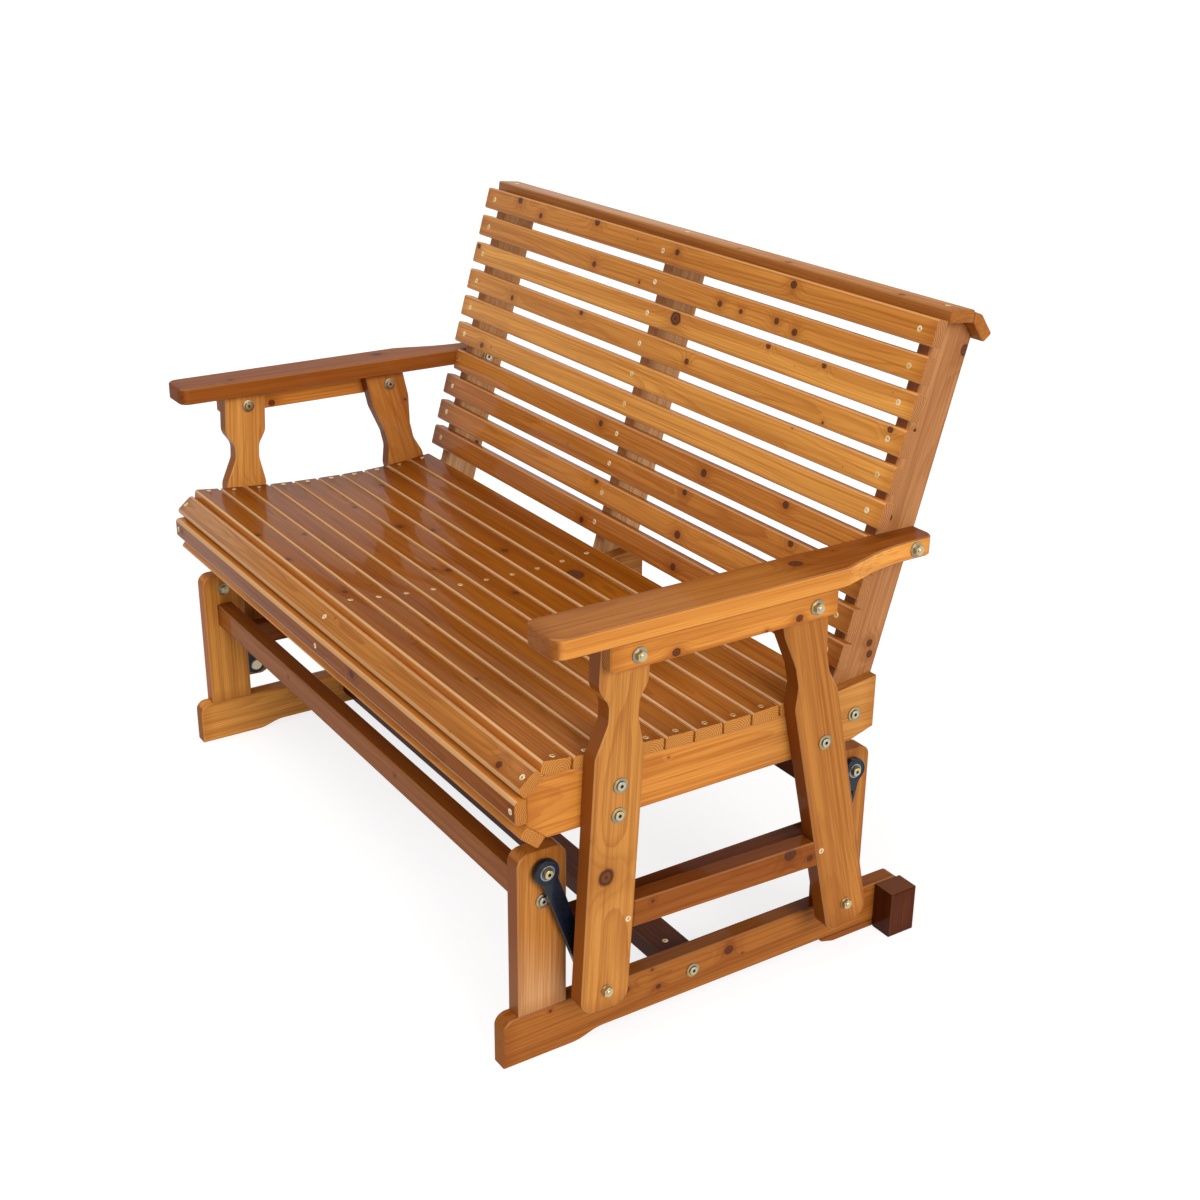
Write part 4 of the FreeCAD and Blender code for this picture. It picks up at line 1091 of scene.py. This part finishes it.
class GLIDER_OT_seat_bolts(GliderOperator, bpy.types.Operator):
    """Models the bolts, washers and nuts of the seat frame"""

    bl_idname = "glider.seat_bolts"
    bl_label = "Seat frame bolts"

    def dress(self, scene):
        sizes, finish = scene.glider_hardware, zinc_finishes(scene.glider_metal)
        head, nut = (make(sizes, sizes.washer_radius, finish) for make in (button_head, threaded_nut))
        places = [(point, LEG_OUTER, RAIL_INNER) for point in LEG_BOLTS]
        places += [(point, LEG_INNER, CLEAT_OUTER) for point in CLEAT_BOLTS]
        places += [(TAIL_BOLT, UPRIGHT_INNER, TAIL_OUTER), (RAIL_BOLT, LEG_INNER, UPRIGHT_INNER)]
        parts = Line(1, RAIL_BOLT).bolt(sizes, head, nut, CENTRE_RAIL_RIGHT, CENTRE_UPRIGHT_LEFT)
        for _, sign in SIDES:
            for point, head_x, nut_x in places:
                parts += Line(sign, point).bolt(sizes, head, nut, head_x, nut_x)
        fitted("seat_frame_bolt_set", parts, "seat", "seat_frame_bolts")
        drop(head, nut)


class GLIDER_OT_base_bolts(GliderOperator, bpy.types.Operator):
    """Models the bolts that pull the cross stretchers onto the base"""

    bl_idname = "glider.base_bolts"
    bl_label = "Base bolts"

    def dress(self, scene):
        sizes, finish = scene.glider_hardware, zinc_finishes(scene.glider_metal)
        head = button_head(sizes, sizes.washer_radius, finish)
        dowel_x = POST_INNER - DOWEL_DEEP
        dowel = bevelled(bar("dowel", DOWEL_RADIUS, -DOWEL_HALF, DOWEL_HALF, 20), 0.0006)
        coated(dowel, finish["nut"])
        along_y, along_z = (0.0, 1.0, 0.0), (0.0, 0.0, 1.0)
        parts = []
        for _, sign in SIDES:
            for point, open_way in zip(BASE_BOLTS, (along_y, along_y, along_z)):
                line = Line(sign, point)
                parts += [
                    line.outward(head, POST_OUTER),
                    line.shank(sizes, POST_OUTER, dowel_x - DOWEL_RADIUS),
                    copy_at(dowel, line.at(dowel_x), open_way),
                ]
        fitted("base_bolt_set", parts, "base", "base_bolts")
        drop(head, dowel)


class GLIDER_OT_pivots(GliderOperator, bpy.types.Operator):
    """Models the bolts, spacers, studs and nuts that the links swing on"""

    bl_idname = "glider.pivots"
    bl_label = "Pivots"

    def dress(self, scene):
        sizes, finish = scene.glider_hardware, zinc_finishes(scene.glider_metal)
        small_head = button_head(sizes, SMALL_WASHER_RADIUS, finish)
        nut, small_nut = (threaded_nut(sizes, radius, finish) for radius in (sizes.washer_radius, sizes.spacer_radius))
        stud = bar("stud", STUD_RADIUS, 0.0, STUD_HIGH)
        shape(stud, top_face, inset(0.0005))
        coated(bevelled(stud, 0.0014, 4), finish["head"])
        inner, outer = LINK_INNER - LINK_CLEAR, LINK_OUTER + LINK_CLEAR
        upper, lower, pins = [], [], []
        for _, sign in SIDES:
            for point in (FRONT_UPPER, REAR_UPPER):
                line = Line(sign, point)
                upper += [
                    line.outward(small_head, outer),
                    line.inward(nut, POST_INNER),
                    line.shank(sizes, outer, POST_INNER),
                    line.spacer(sizes, POST_OUTER, inner),
                ]
            front, rear = Line(sign, FRONT_LOWER), Line(sign, REAR_LOWER)
            for line in (front, rear):
                lower += [line.spacer(sizes, outer, LEG_INNER), line.outward(small_nut, LEG_OUTER)]
            # The front pin is whole; the rear one is split at the link's outer face
            lower += [
                front.inward(stud, inner), front.shank(sizes, inner, LEG_OUTER), rear.shank(sizes, outer, LEG_OUTER)
            ]
            pins += [rear.inward(stud, inner), rear.shank(sizes, inner, LINK_OUTER)]
        fitted("upper_pivot_set", upper, "base", "upper_pivot_bolts")
        fitted("lower_pivot_set", lower, "seat", "lower_pivot_bolts")
        fitted("rear_link_pin_set", pins, "rear_links", "rear_link_pins")
        drop(small_head, nut, small_nut, stud)


class GLIDER_OT_wood_screws(GliderOperator, bpy.types.Operator):
    """Models the countersunk screws of slats, cap and stretchers"""

    bl_idname = "glider.wood_screws"
    bl_label = "Wood screws"

    def dress(self, scene):
        sizes = scene.glider_hardware
        master = self.master(sizes)
        metal = plate("screw_plate", scene.glider_metal.screw_plate, scene.glider_metal.yellow_zinc, 0.3)
        recess = zinc_finishes(scene.glider_metal)["recess"]
        # Dark ring round each screw: oiled wood and painted shade
        rim = oiled_and_shaded_rim(scene.glider_wood)
        for name, body, places in (
            ("seat_slat_screws", "seat", self.slat_places(seat_slats())),
            ("back_slat_screws", "seat", self.slat_places(single_slats()) + self.roll_places()),
            ("leg_screws", "seat", self.leg_places()),
            ("stretcher_screws", "base", self.stretcher_places()),
        ):
            screws = joined(name, [copy_at(master, point, out) for point, out in places])
            screws.data.materials.clear()
            for material in (metal, rim, recess):
                screws.data.materials.append(material)
            hang(screws, body)
        drop(master)

    def master(self, sizes):
        """One screw: a dark ring of wood round it, partly oil and partly painted shade, a dished head and a near-black
        cross in painted shade.
        """
        radius = sizes.screw_radius
        screw = bar("screw", radius + COUNTERSINK_WIDE, -SCREW_DEEP, 0.00006, 16)
        shape(screw, top_face, inset(0.0005), raise_by(0.00028, 0.96), inset(0.0006), raise_by(-0.00012))
        spans = (RECESS_LONG, RECESS_WIDE), (RECESS_WIDE, RECESS_LONG)
        cross, arm = (block("arm", *span, 0.002, 0.0003) for span in spans)
        carved(screw, carved(cross, arm, "UNION"))
        for _ in range(3):
            screw.data.materials.append(None)
        # Outer ring: oil-dark wood and painted shade; cross-shaped hollow: painted shade
        for face in screw.data.polygons:
            outer = face.center.xy.length > radius - 0.0001 and face.center.z < 0.0001
            shaded_hollow = face.center.xy.length < RECESS_REACH and face.center.z < 0.0
            face.material_index = 1 if outer else 2 if shaded_hollow else 0
        return screw

    def on_face(self, name, start, out):
        """Where a line coming in against out meets a piece, and which way that face looks."""
        found, point, normal, _ = bpy.data.objects[name].ray_cast(Vector(start) + Vector(out) * 0.1, -Vector(out))
        if not found:
            raise ValueError("no face of %s under %s" % (name, tuple(start)))
        return point, normal

    def slat_places(self, slats):
        return [
            self.on_face(slat.name, slat.centre + ALONG_X * x, slat.board.thick) for slat in slats for x in slat.screws
        ]

    def roll_places(self):
        low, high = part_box("roll_slat")
        middle = (low + high) / 2
        out = (0.0, -ROLL[1], ROLL[0])
        return [self.on_face("roll_slat", (x, middle.y, middle.z), out) for x in UPRIGHT_X]

    def leg_places(self):
        return [
            self.on_face(name + node, Line(sign, point).at(LEG_OUTER), (sign, 0.0, 0.0))
            for name, sign in SIDES
            for node, point in LEG_SCREWS.items()
        ]

    def stretcher_places(self):
        low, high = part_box("lower_cross_stretcher")
        x, y = high.x - STRETCHER_SCREW_IN, (low.y + high.y) / 2 - STRETCHER_SCREW_FORWARD
        return [self.on_face("lower_cross_stretcher", (sign * x, y, high.z), (0.0, 0.0, 1.0)) for _, sign in SIDES]


class GLIDER_OT_hidden_screws(GliderOperator, bpy.types.Operator):
    """Plates the screws hidden in the rails, posts and armrests"""

    bl_idname = "glider.hidden_screws"
    bl_label = "Hidden screws"

    def dress(self, scene):
        metal = scene.glider_metal
        for node in ("base_lag_screws", "armrest_screws"):
            clad(node, plate(node + "_zinc", metal.zinc, metal.yellow_zinc))


class GLIDER_OT_stage(GliderOperator, bpy.types.Operator):
    """Sets the floor, the light and the camera"""

    bl_idname = "glider.stage"
    bl_label = "Floor, light and camera"

    def dress(self, scene):
        stage = scene.glider_stage
        self.floor()
        self.world(scene, stage.sky)
        self.lamp("key", stage.key, stage.key_from, stage.key_spread)
        self.lamp("fill", stage.fill, stage.fill_from, stage.fill_spread)
        self.camera(scene, stage)
        scene.view_settings.view_transform = "Standard"

    def by_ray(self, owner, output, lit, shown):
        """Gives a floor or world one shader for the light it throws and one for rays that show it."""
        owner.use_nodes = True
        tree = owner.node_tree
        tree.nodes.clear()
        start = Wire(tree)
        seen, glossy, through = (
            start.add("LightPath", output=ray) for ray in ("Is Camera Ray", "Is Glossy Ray", "Is Transmission Ray")
        )
        seen = seen.maths("MAXIMUM", glossy).maths("MAXIMUM", through)
        both = start.add("MixShader", {0: seen, 1: lit(start), 2: shown(start)})
        tree.links.new(both.socket, tree.nodes.new(output).inputs["Surface"])

    def floor(self):
        floor = added(bpy.ops.mesh.primitive_plane_add, size=60.0)
        floor.name = "floor"
        material = bpy.data.materials.new("floor")

        def diffuse(start, grey):
            return start.add("BsdfDiffuse", {"Color": (grey, grey, grey, 1.0)})

        def pale(start):
            return start.add("AddShader", {0: diffuse(start, 0.3), 1: start.add("Emission", {"Strength": 0.80})})

        self.by_ray(material, "ShaderNodeOutputMaterial", lambda start: diffuse(start, 0.82), pale)
        floor.data.materials.append(material)

    def world(self, scene, sky):
        scene.world = bpy.data.worlds.new("studio")

        def white(strength):
            return lambda start: start.add("Background", {"Color": (1.0, 1.0, 1.0, 1.0), "Strength": strength})

        self.by_ray(scene.world, "ShaderNodeOutputWorld", white(sky), white(1.0))

    def lamp(self, name, strength, direction, spread):
        lamp = added(bpy.ops.object.light_add, type="SUN")
        lamp.name = name
        lamp.data.energy = strength
        lamp.data.angle = spread
        lamp.rotation_euler = Vector(direction).to_track_quat("Z", "Y").to_euler()

    def camera(self, scene, stage):
        camera = added(bpy.ops.object.camera_add)
        camera.name = "photograph"
        camera.data.sensor_fit = "HORIZONTAL"
        camera.data.sensor_width = 36.0
        camera.data.lens = stage.lens
        az, el, roll = stage.azimuth, stage.elevation, stage.roll
        back = Vector((math.sin(az) * math.cos(el), -math.cos(az) * math.cos(el), math.sin(el)))
        right = Vector((math.cos(az), math.sin(az), 0.0))
        up = back.cross(right)
        rolled_right = right * math.cos(roll) + up * math.sin(roll)
        rolled_up = up * math.cos(roll) - right * math.sin(roll)
        axes = Matrix((rolled_right, rolled_up, back)).transposed().to_4x4()
        camera.matrix_world = Matrix.Translation(Vector(stage.eye)) @ axes
        scene.camera = camera


OPERATORS = (
    GLIDER_OT_stage,
    GLIDER_OT_frame_boards,
    GLIDER_OT_slats,
    GLIDER_OT_links,
    GLIDER_OT_bearings,
    GLIDER_OT_seat_bolts,
    GLIDER_OT_base_bolts,
    GLIDER_OT_pivots,
    GLIDER_OT_wood_screws,
    GLIDER_OT_hidden_screws,
)
GROUPS = {
    "glider_wood": GliderWood,
    "glider_metal": GliderMetal,
    "glider_hardware": GliderHardware,
    "glider_stage": GliderStage,
}


class GLIDER_PT_dressing(bpy.types.Panel):
    """Sidebar panel with every step and its settings."""

    bl_idname = "GLIDER_PT_dressing"
    bl_label = "Glider bench"
    bl_space_type = "VIEW_3D"
    bl_region_type = "UI"
    bl_category = "Glider bench"

    def draw(self, context):
        layout = self.layout
        for operator in OPERATORS:
            layout.operator(operator.bl_idname)
        for name, group in GROUPS.items():
            box = layout.box()
            box.label(text=name.replace("glider_", "").capitalize())
            for prop in group.__annotations__:
                box.prop(getattr(context.scene, name), prop)


def register():
    for group in GROUPS.values():
        bpy.utils.register_class(group)
    for name, group in GROUPS.items():
        setattr(bpy.types.Scene, name, PointerProperty(type=group))
    for operator in OPERATORS:
        bpy.utils.register_class(operator)
    bpy.utils.register_class(GLIDER_PT_dressing)


def unregister():
    bpy.utils.unregister_class(GLIDER_PT_dressing)
    for operator in reversed(OPERATORS):
        bpy.utils.unregister_class(operator)
    for name in GROUPS:
        delattr(bpy.types.Scene, name)
    for group in reversed(list(GROUPS.values())):
        bpy.utils.unregister_class(group)


def main():
    register()
    for operator in OPERATORS:
        category, name = operator.bl_idname.split(".")
        getattr(getattr(bpy.ops, category), name)()


if __name__ == "__main__":
    main()
